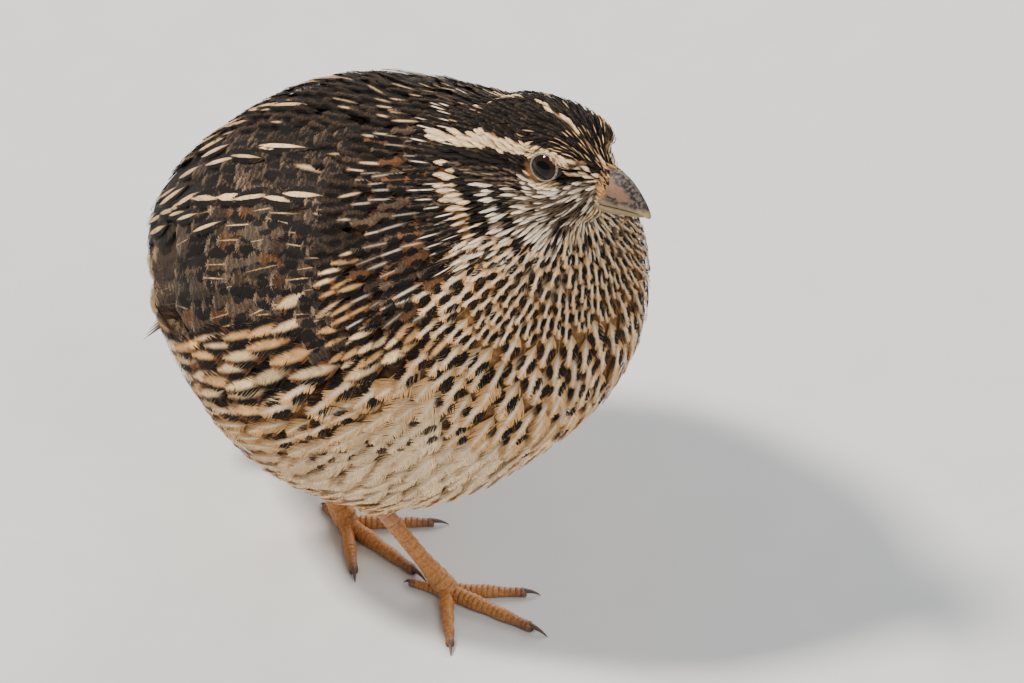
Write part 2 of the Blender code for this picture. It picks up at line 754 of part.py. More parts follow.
def make_toe(name, leg, length, half, angle, joints, start):
    ball_point, _, _ = leg_points(leg)
    out = math.radians(angle) * leg["side"]
    heading = np.array([math.cos(out), math.sin(out), 0.0])
    left = np.array([-heading[1], heading[0], 0.0])
    floor = -TRUNK_HEIGHT
    claw = 0.24 * length if joints > 1 else 0.36 * length
    rings = []
    bones = length - claw - start
    steps = 2 * joints + 3
    for i in range(steps + 1):
        for share, ridge in ((0.0, 0.12), (0.78, 0.0)):
            if i == steps and share:
                continue
            t = (i + share) / steps
            knuckle = 0.10 * math.cos(2 * math.pi * joints * t)
            wide = half * (0.84 + 0.28 * float(smooth(t / 0.2)) - 0.34 * t) * (1 + knuckle)
            tall = half * (1.72 - 0.55 * t) * (1 + ridge + knuckle * 0.5)
            rings.append(toe_ring(ball_point, heading, left, floor, start + bones * t, wide, tall, 0.0))
    for t, size in ((0.12, 0.62), (0.35, 0.5), (0.65, 0.34), (1.0, 0.12)):
        along = start + bones + claw * t
        wide = half * 0.78 * size * 1.15
        tall = half * 1.25 * size * 1.5
        rise = 0.35 * math.sin(math.pi * min(t, 0.85))
        rings.append(toe_ring(ball_point, heading, left, floor, along, wide, tall, rise))
    make_node(name, mesh_of(name, lofted(rings)), LEG_TAN, 0.5)


def toe_ring(ball_point, heading, left, floor, along, wide, tall, rise):
    centre = np.array([ball_point[0], ball_point[1], floor]) + heading * along
    outline = ((0.78, 0.0), (1.0, 0.4), (0.66, 0.86), (0.0, 1.0))
    ring = [(w, h) for w, h in outline] + [(-w, h) for w, h in reversed(outline[:-1])]
    return np.array([centre + left * wide * w + np.array([0, 0, rise + tall * h]) for w, h in ring])


def thigh_form(leg, spare):
    """The feathered leg: a plug in the belly that narrows to the ankle. spare widens it for the socket."""
    _, ankle, way = leg_points(leg)
    hip = ankle + np.array([10.0, leg["side"] * 3.0, 17.0])
    axis, front, left = frame_along(ankle - hip)
    full = np.linalg.norm(ankle - hip)
    rings = []
    for t, r in ((0.0, 3.5), (0.06, 5.5), (0.25, 7.4), (0.5, 7.2), (0.72, 6.2), (0.88, 5.0), (1.0, 4.1), (1.12, 3.2)):
        reach = full * t - (spare if t == 0 else 0)
        rings.append(limb_ring(hip + axis * reach, front, left, r + spare, (r + spare) * 0.92, 16))
    return lofted(rings)


def make_thigh(name, leg):
    _, ankle, way = leg_points(leg)
    mesh = sliced(mesh_of(name, thigh_form(leg, 0.0)), tuple(ankle), tuple(-way))
    make_node(name, mesh, THIGH_CREAM, 0.9)


def make_legs():
    for side, leg in LEGS.items():
        make_thigh("thigh_" + side, leg)
        make_shank("shank_" + side, leg)
        for number, *sizes in TOES:
            make_toe(f"toe_{side}_{number}", leg, *sizes)


def stand_on_floor():
    """Puts the box's bottom centre at the origin, in metres."""
    points = np.concatenate([np.array([v.co for v in obj.data.vertices]) for obj in NODES])
    low, high = points.min(0), points.max(0)
    shift = np.array([(low[0] + high[0]) / 2, (low[1] + high[1]) / 2, -TRUNK_HEIGHT])
    for obj in NODES:
        for v in obj.data.vertices:
            v.co = [(v.co[i] - shift[i]) / 1000 for i in range(3)]
        obj.data.update()


make_trunk()
make_neck()
make_head()
make_eyes()
make_bill()
make_wings()
make_tail()
make_legs()
stand_on_floor()
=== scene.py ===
"""The looks of the coturnix quail: one skin, its coat of feathers, the wings, tail, head, bill and legs.

Shapes are worked out in millimetres from the middle of the trunk, with the bird facing +X and its left
side at +Y, and are moved to the frame's metres by in_frame.
"""

import itertools
import math

import bmesh
import bpy
import numpy as np
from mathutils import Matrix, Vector


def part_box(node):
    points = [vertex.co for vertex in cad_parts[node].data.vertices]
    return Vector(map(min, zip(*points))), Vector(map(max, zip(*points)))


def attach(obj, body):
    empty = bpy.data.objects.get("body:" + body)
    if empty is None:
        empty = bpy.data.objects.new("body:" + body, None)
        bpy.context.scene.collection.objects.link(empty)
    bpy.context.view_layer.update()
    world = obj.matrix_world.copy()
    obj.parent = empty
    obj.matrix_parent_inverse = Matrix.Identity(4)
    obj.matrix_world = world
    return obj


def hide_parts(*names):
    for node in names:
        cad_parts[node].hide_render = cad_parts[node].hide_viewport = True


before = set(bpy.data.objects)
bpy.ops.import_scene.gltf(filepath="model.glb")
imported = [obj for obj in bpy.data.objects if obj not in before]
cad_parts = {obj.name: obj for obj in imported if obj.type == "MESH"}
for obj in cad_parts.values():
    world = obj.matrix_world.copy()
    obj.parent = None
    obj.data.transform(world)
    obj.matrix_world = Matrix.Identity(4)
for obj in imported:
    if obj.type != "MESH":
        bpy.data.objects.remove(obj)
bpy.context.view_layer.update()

# Plumage forms: forward, up, half length, half height, half width, pitch in degrees, offset to the side.
BELLY = (-4.4, -2.1, 47.8, 48.4, 46.8, 30.5, 0.0)
BREAST = (20.9, 13.3, 39.4, 39.4, 38.6, 30.0, 0.0)
RUMP = (-34.8, -4.6, 34.1, 27.3, 27.3, 34.0, 0.0)
NECK = (31.4, 37.4, 19.7, 25.4, 18.1, 66.0, 0.0)
CRANIUM = (42.8, 57.9, 15.9, 10.7, 10.6, -3.0, 0.0)
MUZZLE = (54.6, 56.6, 9.6, 6.2, 5.6, -18.0, 0.0)
CHIN = (52.5, 51.0, 8.0, 5.0, 5.5, -8.0, 0.0)
CHEEK = (47.0, 52.5, 10.0, 8.0, 7.6, 0.0, 4.4)
BROW = (50.0, 63.6, 7.2, 2.0, 3.0, -10.0, 6.2)

# Millimetres and degrees, except that the camera's distances are in metres.
TRUNK_HEIGHT = 73.4
TRUNK_PITCH = 30.0
TRUNK_ORIGIN = np.array([-4.0, 0.0, -2.0])
RUMP_RISE = 11.0
FAN_START = 14.0
NECK_CUT = 55.3
CUT_PITCH = 50.0
WING_RECESS = 5.4
EYE = np.array([50.4, 6.7, 60.3])
EYE_RADIUS = 4.3
EYE_OPENING = 2.85
SOCKET_GAP = 0.1
BODY_DEPTH = 1.7
HEAD_DEPTH = 0.75
LEGS = {
    "right": {"side": -1, "ball": (15.9, -2.6), "way": (-0.60, -0.25, 0.76), "length": 27.0},
    "left": {"side": 1, "ball": (-17.8, 1.6), "way": (-0.65, 0.03, 0.76), "length": 28.0},
}
BALL_LIFT = 2.3

CAMERA_AZIMUTH = 42.0
CAMERA_ELEVATION = 35.0
CAMERA_DISTANCE = 4.0
FRAME_WIDTH = 0.2242
AIM_RIGHT = 0.0247
AIM_UP = -0.0113

rng = np.random.default_rng(11)


def direction(pitch):
    """The forward and the upward unit vector of a frame pitched nose up by that many degrees."""
    a = math.radians(pitch)
    return np.array([math.cos(a), 0.0, math.sin(a)]), np.array([-math.sin(a), 0.0, math.cos(a)])


TRUNK_AXIS, TRUNK_UP = direction(TRUNK_PITCH)
CUT_AXIS, CUT_UP = direction(CUT_PITCH)
SIDEWAYS = np.array([0.0, 1.0, 0.0])

eye_low, eye_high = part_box("eye_right")
TO_FRAME = np.array((eye_low + eye_high) / 2) - EYE * [1, -1, 1] / 1000
FLOOR = -TO_FRAME[2] * 1000


def in_frame(p):
    return np.asarray(p, float) / 1000 + TO_FRAME


def smooth(t):
    t = np.clip(t, 0.0, 1.0)
    return t * t * (3 - 2 * t)


def unit(v):
    return v / (np.linalg.norm(v, axis=-1, keepdims=True) + 1e-12)


# The plumage's form

def form(p, shape, side=1):
    """Near distance from points p to one plumage form, negative inside it."""
    forward, up, length, height, width, pitch, offset = shape
    axis, rise = direction(pitch)
    q = p - np.array([forward, side * offset, up])
    x, y, z = q @ axis, q[..., 1], q @ rise
    k = np.sqrt((x / length) ** 2 + (y / width) ** 2 + (z / height) ** 2) + 1e-9
    g = np.sqrt((x / length**2) ** 2 + (y / width**2) ** 2 + (z / height**2) ** 2) + 1e-9
    return k * (k - 1) / g


def blend(fields, width):
    fields = np.array(fields)
    low = fields.min(0)
    return low - width * np.log(np.exp((low - fields) / width).sum(0))


def plumage(p):
    """The outer surface of the feathered body and head."""
    trunk = blend([form(p, s) for s in (BELLY, BREAST, RUMP, NECK)], 5.0)
    face = [form(p, CRANIUM), form(p, MUZZLE), form(p, CHIN)]
    for side in (1, -1):
        face.append(form(p, CHEEK, side))
        face.append(form(p, BROW, side))
    return blend([trunk, blend(face, 1.3)], 2.5)


def rump_rise(s):
    """How far the trunk's own axis is above the straight one, s mm ahead of its origin."""
    return RUMP_RISE * smooth((-np.asarray(s, float) - 10) / 50)


def axis_point(s):
    """Where the trunk's own axis is, s mm ahead of its origin. Towards the rump it rises."""
    return TRUNK_ORIGIN + np.multiply.outer(s, TRUNK_AXIS) + np.multiply.outer(rump_rise(s), TRUNK_UP)


def trunk_coordinates(p):
    """Station along the trunk, and the angle round it from the spine in degrees."""
    q = p - TRUNK_ORIGIN
    s = q @ TRUNK_AXIS
    return s, np.degrees(np.arctan2(np.abs(p[..., 1]), q @ TRUNK_UP - rump_rise(s)))


def recess(p):
    """1 under the folded wing, falling to 0 at the spine and at the wing's lower, front and rear ends."""
    s, angle = trunk_coordinates(p)
    around = smooth((angle - 3) / 14) * smooth((106 - angle) / 20)
    return around * smooth((36 - s) / 11) * smooth((s + 60) / 22)


def under_wing(p):
    """The plumage with the place of the folded wings taken out of its sides."""
    return plumage(p) + WING_RECESS * recess(p)


def eye_centre(side):
    return EYE * [1, side, 1]


def eye_axis(side):
    """The way that an eye looks: square to the plumage beside it."""
    return unit(gradient(plumage, np.array([[EYE[0], side * 10.0, EYE[2]]]))[0])


def head_share(p):
    """0 on the trunk and 1 on the head, changing along the neck."""
    return smooth((p @ CUT_AXIS - 52) / 12)


def coat_depth(p):
    return BODY_DEPTH + (HEAD_DEPTH - BODY_DEPTH) * head_share(p)


# The feathered leg's radius by its share of the way from hip to ankle, and its coat's depth.
THIGH_RADII = ((0.0, 5.5), (0.25, 7.2), (0.5, 7.0), (0.72, 5.9), (0.88, 4.6), (1.0, 3.6), (1.1, 2.6))
THIGH_COAT = 0.4


def square_to(way):
    """Two unit vectors square to way: the most forward one, and the one to its left."""
    front = unit(np.array([1.0, 0, 0]) - way[0] * way)
    return front, np.cross(way, front)


def full_turn(count):
    """That many angles, spread evenly round a circle."""
    return np.arange(count) * 2 * math.pi / count


def circle(count, first, second):
    """Points of the unit circle in the plane of two vectors."""
    a = full_turn(count)
    return np.multiply.outer(np.cos(a), first) + np.multiply.outer(np.sin(a), second)


def leg_points(leg):
    """The ball of the foot, the ankle, and the way from one to the other."""
    ball_point = np.array([*leg["ball"], -TRUNK_HEIGHT + BALL_LIFT])
    way = unit(np.array(leg["way"]))
    return ball_point, ball_point + way * leg["length"], way


def thigh_axis(leg):
    """The hip and the ankle."""
    _, ankle, _ = leg_points(leg)
    return ankle + np.array([10.0, leg["side"] * 3.0, 17.0]), ankle


def thigh(p, leg):
    """Near distance to the feathered leg, a round taper from the belly to the ankle."""
    hip, ankle = thigh_axis(leg)
    along = ankle - hip
    t = np.clip(((p - hip) @ along) / (along @ along), 0.0, 1.08)
    return np.linalg.norm(p - hip - t[..., None] * along, axis=-1) - np.interp(t, *zip(*THIGH_RADII))


def skin_field(p):
    """The skin's surface, inside the plumage by the coat's depth, with both legs' feathered parts."""
    body = plumage(p) + coat_depth(p)
    legs = [thigh(p, leg) + THIGH_COAT for leg in LEGS.values()]
    return blend([body, *legs], 1.2)


def gradient(field, p):
    step = 0.25
    parts = [field(p + step * e) - field(p - step * e) for e in np.eye(3)]
    return np.stack(parts, -1) / (2 * step)


def rest_on(field, p, height=0.0, rounds=4):
    """Points moved along the field's slope until they are that far outside its surface."""
    for _ in range(rounds):
        g = gradient(field, p)
        miss = field(p) - height
        p = p - (miss / ((g * g).sum(-1) + 1e-9))[..., None] * g
    return p


def shoot(field, origins, ways, far=80.0):
    """The outermost point of the surface along each ray."""
    steps = np.arange(far, 0.0, -1.0)
    values = np.stack([field(origins + t * ways) for t in steps])
    first = np.argmax(values < 0, axis=0)
    inner = steps[first]
    outer = inner + 1.0
    for _ in range(16):
        middle = (inner + outer) / 2
        inside = field(origins + middle[..., None] * ways) < 0
        inner = np.where(inside, middle, inner)
        outer = np.where(inside, outer, middle)
    inner = np.where(values.min(0) < 0, inner, 0.01)
    return origins + inner[..., None] * ways


def surface_points(field, s, angle, side=1):
    """Where rays from the trunk's axis leave a surface, by station and angle from the spine."""
    a = np.radians(angle)
    ways = np.multiply.outer(np.cos(a), TRUNK_UP) + np.multiply.outer(np.sin(a) * side, SIDEWAYS)
    return shoot(field, axis_point(s), ways)


# Meshes

def mesh_from(name, points, triangles, attributes=None):
    """A mesh object in the frame's metres.

    Attributes are per point: four numbers are a colour, three a vector, and two a place on a UV map.
    """
    points = in_frame(points)
    mesh = bpy.data.meshes.new(name)
    mesh.vertices.add(len(points))
    mesh.vertices.foreach_set("co", points.astype(np.float32).ravel())
    triangles = np.asarray(triangles, np.int32)
    mesh.loops.add(triangles.size)
    mesh.loops.foreach_set("vertex_index", triangles.ravel())
    mesh.polygons.add(len(triangles))
    mesh.polygons.foreach_set("loop_start", np.arange(0, triangles.size, 3, dtype=np.int32))
    mesh.polygons.foreach_set("use_smooth", np.ones(len(triangles), bool))
    for key, values in (attributes or {}).items():
        values = np.asarray(values, np.float32)
        if values.shape[-1] == 4:
            layer = mesh.attributes.new(key, "FLOAT_COLOR", "POINT")
            layer.data.foreach_set("color", values.ravel())
        elif values.shape[-1] == 3:
            layer = mesh.attributes.new(key, "FLOAT_VECTOR", "POINT")
            layer.data.foreach_set("vector", values.ravel())
        else:
            layer = mesh.uv_layers.new(name=key)
            layer.uv.foreach_set("vector", values[triangles.ravel()].ravel())
    mesh.update()
    mesh.validate()
    obj = bpy.data.objects.new(name, mesh)
    bpy.context.scene.collection.objects.link(obj)
    return obj


def settle(obj, material, slot, *nodes):
    """Gives a finished piece its material and body, and hides the CAD nodes that it stands for. slot is
    not used.
    """
    obj.data.materials.clear()
    obj.data.materials.append(material)
    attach(obj, "root")
    if nodes:
        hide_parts(*nodes)


def grid_triangles(rows, columns):
    """Two triangles for each cell of a grid of points whose columns close on themselves."""
    i = np.arange(rows - 1)[:, None]
    j = np.arange(columns)[None]
    k = (j + 1) % columns
    a, b = i * columns + j, i * columns + k
    c, d = (i + 1) * columns + k, (i + 1) * columns + j
    return np.concatenate([np.stack([a, b, c], -1).reshape(-1, 3), np.stack([a, c, d], -1).reshape(-1, 3)])


def lofted(rings):
    """Points and triangles of closed rings of equal count, with a pole at each end."""
    count = len(rings[0])
    points = np.concatenate([*rings, [rings[0].mean(0)], [rings[-1].mean(0)]])
    j = np.arange(count)
    k = (j + 1) % count
    pole = np.full(count, len(rings) * count)
    start = (len(rings) - 1) * count
    first = np.stack([pole, k, j], -1)
    last = np.stack([pole + 1, start + j, start + k], -1)
    return points, np.concatenate([grid_triangles(len(rings), count), first, last])


def thigh_mesh(leg):
    """The skin of a leg's feathered part, and its way from hip to ankle."""
    hip, ankle = thigh_axis(leg)
    along = unit(ankle - hip)
    full = np.linalg.norm(ankle - hip)
    around = circle(28, *square_to(along))
    return lofted([hip + along * full * t + around * (r - THIGH_COAT) for t, r in THIGH_RADII]), along


def outward(obj):
    bm = bmesh.new()
    bm.from_mesh(obj.data)
    bmesh.ops.recalc_face_normals(bm, faces=bm.faces)
    if bm.calc_volume(signed=True) < 0:
        bmesh.ops.reverse_faces(bm, faces=bm.faces)
    bm.to_mesh(obj.data)
    bm.free()
    return obj


def combine(base, other, operation):
    """Joins another closed mesh to base or cuts it away, and removes the other."""
    modifier = base.modifiers.new("combine", "BOOLEAN")
    modifier.operation = operation
    modifier.solver = "MANIFOLD"
    modifier.object = other
    graph = bpy.context.evaluated_depsgraph_get()
    mesh = bpy.data.meshes.new_from_object(base.evaluated_get(graph))
    base.modifiers.clear()
    base.data = mesh
    bpy.data.objects.remove(other)


# Materials

class Nodes:
    """A material's node tree, with short calls for the nodes that are used most."""

    def __init__(self, name):
        self.material = bpy.data.materials.new(name)
        self.material.use_nodes = True
        self.tree = self.material.node_tree
        self.shader = self.tree.nodes["Principled BSDF"]

    def node(self, kind, **settings):
        made = self.tree.nodes.new(kind)
        for key, value in settings.items():
            setattr(made, key, value)
        return made

    def link(self, value, socket):
        """Gives a socket a number, a colour or another node's output."""
        if isinstance(value, (int, float)):
            socket.default_value = value
        elif isinstance(value, tuple):
            socket.default_value = (*value, 1.0)
        else:
            self.tree.links.new(value, socket)

    def math(self, operation, a, b=0.0):
        made = self.node("ShaderNodeMath", operation=operation)
        self.link(a, made.inputs[0])
        self.link(b, made.inputs[1])
        return made.outputs[0]

    def plus(self, a, b):
        return self.math("ADD", a, b)

    def minus(self, a, b):
        return self.math("SUBTRACT", a, b)

    def times(self, a, b):
        return self.math("MULTIPLY", a, b)

    def off(self, value, middle, reach):
        """How far value is from middle, counted in reaches."""
        return self.math("DIVIDE", self.minus(value, middle), reach)

    def squares(self, a, b):
        return self.plus(self.times(a, a), self.times(b, b))

    def step(self, value, low, high, start=0.0, end=1.0):
        """A smooth change from start to end as value goes from low to high."""
        made = self.node("ShaderNodeMapRange", interpolation_type="SMOOTHSTEP")
        for socket, given in zip(made.inputs[:5], (value, low, high, start, end)):
            self.link(given, socket)
        return made.outputs[0]

    def mix(self, share, a, b, blend_type="MIX"):
        made = self.node("ShaderNodeMix", data_type="RGBA", blend_type=blend_type)
        self.link(share, made.inputs[0])
        self.link(a, made.inputs[6])
        self.link(b, made.inputs[7])
        return made.outputs[2]

    def shaded(self, colour, shade):
        """A colour times a grey."""
        grey = self.node("ShaderNodeCombineColor")
        for socket in grey.inputs[:3]:
            self.link(shade, socket)
        return self.mix(1.0, colour, grey.outputs[0], "MULTIPLY")

    def noise(self, scale, detail=3.0):
        made = self.node("ShaderNodeTexNoise")
        made.inputs["Scale"].default_value = scale
        made.inputs["Detail"].default_value = detail
        self.link(self.position(), made.inputs["Vector"])
        return made.outputs["Fac"]

    def position(self):
        return self.node("ShaderNodeTexCoord").outputs["Object"]

    def attribute(self, name):
        return self.node("ShaderNodeAttribute", attribute_name=name)

    def split(self, vector):
        made = self.node("ShaderNodeSeparateXYZ")
        self.link(vector, made.inputs[0])
        return made.outputs

    def bump(self, height, strength, distance):
        made = self.node("ShaderNodeBump")
        made.inputs["Strength"].default_value = strength
        made.inputs["Distance"].default_value = distance
        self.link(height, made.inputs["Height"])
        self.link(made.outputs["Normal"], self.shader.inputs["Normal"])

    def finish(self, colour, roughness, specular=0.3):
        self.link(colour, self.shader.inputs["Base Color"])
        self.link(roughness, self.shader.inputs["Roughness"])
        self.shader.inputs["Specular IOR Level"].default_value = specular
        return self.material


def feather_material(name, soft, roughness):
    """Feather markings from each feather's own colours and the place on its vane.

    The vane attribute holds the place across, the place along, the rim and a random number for each barb.
    soft is how gently the shaft's streak fades into the vane.
    """
    m = Nodes(name)
    vane = m.attribute("vane")
    across, along, rim = m.split(vane.outputs["Color"])
    barb = m.minus(vane.outputs["Alpha"], 0.5)
    base, streak, side, tip = [m.attribute(key) for key in COLOURS]
    coarse = m.noise(420.0, 2.0)
    fine = m.noise(4200.0, 2.0)
    wobble = m.minus(m.noise(1500.0), 0.5)

    def wandering(value, by_barb, by_noise):
        return m.plus(m.plus(value, m.times(barb, by_barb)), m.times(wobble, by_noise))

    # Thin bars across the vane, in the tip's colour.
    wave = m.minus(m.times(along, 62.0), m.times(across, 4.0))
    bars = m.step(m.math("SINE", wandering(wave, 2.0, 12.0)), 0.45, 0.85)
    colour = m.mix(m.times(bars, base.outputs["Alpha"]), base.outputs["Color"], tip.outputs["Color"])

    # A blotch on each side of the shaft, near the tip.
    amount = side.outputs["Alpha"]
    reach = m.plus(m.times(amount, 0.26), 0.06)
    spread = m.plus(m.times(amount, 0.40), 0.22)
    far = m.math("SQRT", m.squares(m.off(along, 0.72, reach), m.off(across, 0.62, spread)))
    blotch = m.step(wandering(far, 0.35, 0.5), 0.85, 1.1, 1.0, 0.0)
    colour = m.mix(m.times(blotch, m.step(amount, 0.0, 0.08)), colour, side.outputs["Color"])

    # The shaft's streak, widest in the middle.
    width = streak.outputs["Alpha"]
    lance = m.times(m.step(along, 0.15, 0.62), m.step(along, 0.80, 1.04, 1.0, 0.15))
    inside = m.minus(wandering(across, 0.05, 0.10), m.times(width, lance))
    shaft = m.times(m.step(inside, -soft, soft * 0.6, 1.0, 0.0), m.step(width, 0.0, 0.02))
    shaft = m.times(shaft, m.step(coarse, 0.25, 0.5, 0.72, 1.0))
    colour = m.mix(shaft, colour, streak.outputs["Color"])

    edge = m.times(m.step(wandering(rim, 0.03, 0.06), 0.91, 0.97), tip.outputs["Alpha"])
    colour = m.mix(edge, colour, tip.outputs["Color"])

    shade = m.plus(m.times(vane.outputs["Alpha"], 0.34), m.times(coarse, 0.4))
    shade = m.plus(m.plus(shade, m.times(fine, 0.3)), 0.48)
    # Each feather darker towards its root: partly painted shade under the feathers that lie over it,
    # partly the darker down at its base.
    shade = m.times(shade, m.step(along, 0.2, 0.62, 0.56, 1.0))
    m.bump(fine, 0.3, 0.0001)
    return m.finish(m.shaded(colour, shade), roughness, 0.2)


def skin_material():
    m = Nodes("skin_down")
    tone = m.attribute("tone").outputs["Color"]
    shade = m.step(m.noise(900.0, 4.0), 0.3, 0.7, 0.62, 1.1)
    m.bump(m.noise(1800.0, 5.0), 0.6, 0.0004)
    return m.finish(m.shaded(tone, shade), 0.9, 0.2)


# Feathers

# Stations along a feather less one, where its vane is widest, and how it climbs from root to tip.
SEGMENTS = 5
WIDEST = 0.62
CLIMB = 0.8
# A barb's places along and across, and half its width as a share of the gap between barbs.
BARB = ((0.0, 0.0, 0.60), (0.42, 0.55, 0.62), (0.84, 0.9, 0.44))
# The four colours of a feather: each holds in its fourth number how much there is of its marking.
COLOURS = ("base", "streak", "side", "tip")


def flattened(ways, normals):
    """Unit vectors along ways, with the part along the normals taken out."""
    return unit(ways - (ways * normals).sum(-1, keepdims=True) * normals)


def walk(field, roots, ways, length, flow=None):
    """Stations along feathers that are laid over a surface: points, normals and headings."""
    p = rest_on(field, roots)
    ways = unit(ways)
    points, normals, headings = [], [], []
    for k in range(SEGMENTS + 1):
        if k:
            p = rest_on(field, p + ways * (length / SEGMENTS)[:, None], rounds=2)
        n = unit(gradient(field, p))
        if flow and k:
            ways = ways + 0.6 * flow(p)
        ways = flattened(ways, n)
        points.append(p)
        normals.append(n)
        headings.append(ways)
    return [np.stack(part, 1) for part in (points, normals, headings)]


def outline(t, point):
    """Half width of a vane along it, as a share of its widest half. A high point is a blunt tip."""
    before = 0.45 + 0.55 * smooth(t / WIDEST)
    after = np.maximum(0.0, 1 - (np.maximum(t - WIDEST, 0) / (1.03 - WIDEST)) ** point) ** 0.62
    return np.where(t < WIDEST, before, after)


def vane_template(barbs, first, sweep, point):
    """Barbs of one feather as places along and across its vane, with their triangles.

    Each barb is a strip that leaves the shaft, bends towards the tip and narrows to a point.
    """
    roots = first + (0.99 - first) * np.linspace(0, 1, barbs) ** 0.95
    gap = (0.99 - first) / (barbs - 1)
    places, owner, triangles = [], [], []

    def add(along, across, share, rise, number):
        places.append((along, across, share, rise))
        owner.append(number)

    for b, start in enumerate(roots):
        reach = sweep * (1.0 - start) + 0.03
        edge = float(outline(np.array(start + reach), point))
        for side in (1, -1):
            base = len(owner)
            number = 2 * b + (side > 0)
            for t, x, half in BARB:
                for end in (-1, 1):
                    add(start + reach * t + end * half * gap, side * x * edge, t, -0.03 * end, number)
            add(start + reach, side * edge, 1.0, 0.0, number)
            for k in (0, 2):
                quad = [base + k, base + k + 1, base + k + 3, base + k + 2]
                if side > 0:
                    quad.reverse()
                triangles += [(quad[0], quad[1], quad[2]), (quad[0], quad[2], quad[3])]
            last = (base + 4, base + 5, base + 6)
            triangles.append(last if side < 0 else last[::-1])
    start = len(owner)
    stations = np.linspace(0.0, 0.97, 5)
    for t in stations:
        for side in (1, -1):
            add(t, side * 0.03 * (1.1 - t), 0.0, 0.05, 0)
    for a in range(start, len(owner) - 2, 2):
        triangles += [(a, a + 1, a + 3), (a, a + 3, a + 2)]
    return (*np.array(places, float).T, np.array(owner), np.array(triangles)[:, ::-1])


def feathers(
    field, roots, ways, length, half, low, high, marks, barbs,
    first=0.1, sweep=0.3, point=2.0, ragged=1.0, camber=0.10, curl=0.0, radius=40.0, flow=None,
):
    """Points, triangles and attributes of feathers laid over a surface.

    low and high are the heights of root and tip above it, first is where the barbs start, sweep how far
    they lean forward, point how blunt the tip is, ragged how much the barbs differ, and radius the bend
    of the surface below. flow turns the feathers on their way.
    """
    count = len(roots)
    sizes = (length, half, low, high)
    length, half, low, high = [np.broadcast_to(np.asarray(v, float), count) for v in sizes]
    along, across, share, rise, owner, triangles = vane_template(barbs, first, sweep, point)
    stations = walk(field, roots, ways, length, flow)
    shift, spread, lift = [
        rng.normal(0, size * ragged, (count, 2 * barbs))[:, owner] * share for size in (0.018, 0.07, 0.05)
    ]
    tint = rng.random((count, 2 * barbs))[:, owner]
    t = along + shift
    x = across * (1 + spread)
    inside = np.clip(t, 0, 1)
    i = np.minimum((inside * SEGMENTS).astype(int), SEGMENTS - 1)
    w = (inside * SEGMENTS - i)[..., None]
    n = np.arange(count)[:, None]
    p, normal, way = [part[n, i] * (1 - w) + part[n, i + 1] * w for part in stations]
    normal, way = unit(normal), unit(way)
    side = x * half[:, None]
    height = low[:, None] + (high - low)[:, None] * inside**CLIMB + rise + lift
    height = height - camber * np.abs(side) * np.abs(x) + curl * inside**3
    p = p + np.cross(normal, way) * side[..., None] + normal * (height - side**2 / (2 * radius))[..., None]
    p = p + way * ((t - inside) * length[:, None])[..., None]
    rim = np.maximum(share * (np.abs(across) > 0), smooth((along - 0.72) / 0.28))
    vane = [np.abs(x), inside, np.broadcast_to(rim, x.shape), tint]
    attributes = {"vane": np.stack(vane, -1).reshape(-1, 4)}
    for key in COLOURS:
        attributes[key] = np.repeat(marks[key], len(along), axis=0)
    patch = np.stack([x * 0.0015, (inside - 0.5) * 0.003], -1) + chart(roots)[:, None]
    attributes["OFBake"] = patch.reshape(-1, 2)
    faces = (np.arange(count)[:, None, None] * len(along) + triangles[None]).reshape(-1, 3)
    return p.reshape(-1, 3), faces, attributes


def merged(parts):
    """Several meshes, each its points, triangles and attributes, as one."""
    points, faces, attributes = [], [], {}
    start = 0
    for p, f, given in parts:
        points.append(p)
        faces.append(f + start)
        for key, values in given.items():
            attributes.setdefault(key, []).append(values)
        start += len(p)
    attributes = {key: np.concatenate(values) for key, values in attributes.items()}
    return np.concatenate(points), np.concatenate(faces), attributes


def coat_piece(name, parts, material, slot, *nodes):
    settle(mesh_from(name, *merged(parts)), material, slot, *nodes)


# An unwrap of the skin: along the bird, and round it

pivot_matrix = np.array([[TRUNK_AXIS[0], TRUNK_AXIS[2]], [CUT_AXIS[0], CUT_AXIS[2]]])
FAN_PIVOT = np.linalg.solve(pivot_matrix, [TRUNK_AXIS @ axis_point(FAN_START), NECK_CUT])
FAN_LENGTH = 45.0
CHART_START, CHART_LENGTH = -64.0, 160.0


def chart(p):
    """Places on the unwrap, both from 0 to 1."""
    s = (p - TRUNK_ORIGIN) @ TRUNK_AXIS
    d = p @ CUT_AXIS
    dx, dz = p[..., 0] - FAN_PIVOT[0], p[..., 2] - FAN_PIVOT[1]
    pitch = np.degrees(np.arctan2(-dx, dz)) % 180.0
    fan = np.clip((pitch - TRUNK_PITCH) / (CUT_PITCH - TRUNK_PITCH), 0, 1)
    in_fan = FAN_START + FAN_LENGTH * fan
    in_head = FAN_START + FAN_LENGTH + d - NECK_CUT
    u = np.where(s < FAN_START, s, np.where(d < NECK_CUT, in_fan, in_head))
    share = smooth((s - FAN_START) / 60)
    centre = TRUNK_ORIGIN * (1 - share)[..., None] + (CUT_AXIS * 60.0) * share[..., None]
    rise = unit(TRUNK_UP * (1 - share)[..., None] + CUT_UP * share[..., None])
    v = np.arctan2(p[..., 1], ((p - centre) * rise).sum(-1)) / (2 * math.pi) + 0.5
    u = (u - CHART_START) / CHART_LENGTH
    return np.stack([0.01 + 0.98 * np.clip(u, 0, 1), 0.01 + 0.98 * v], -1)


# Markings

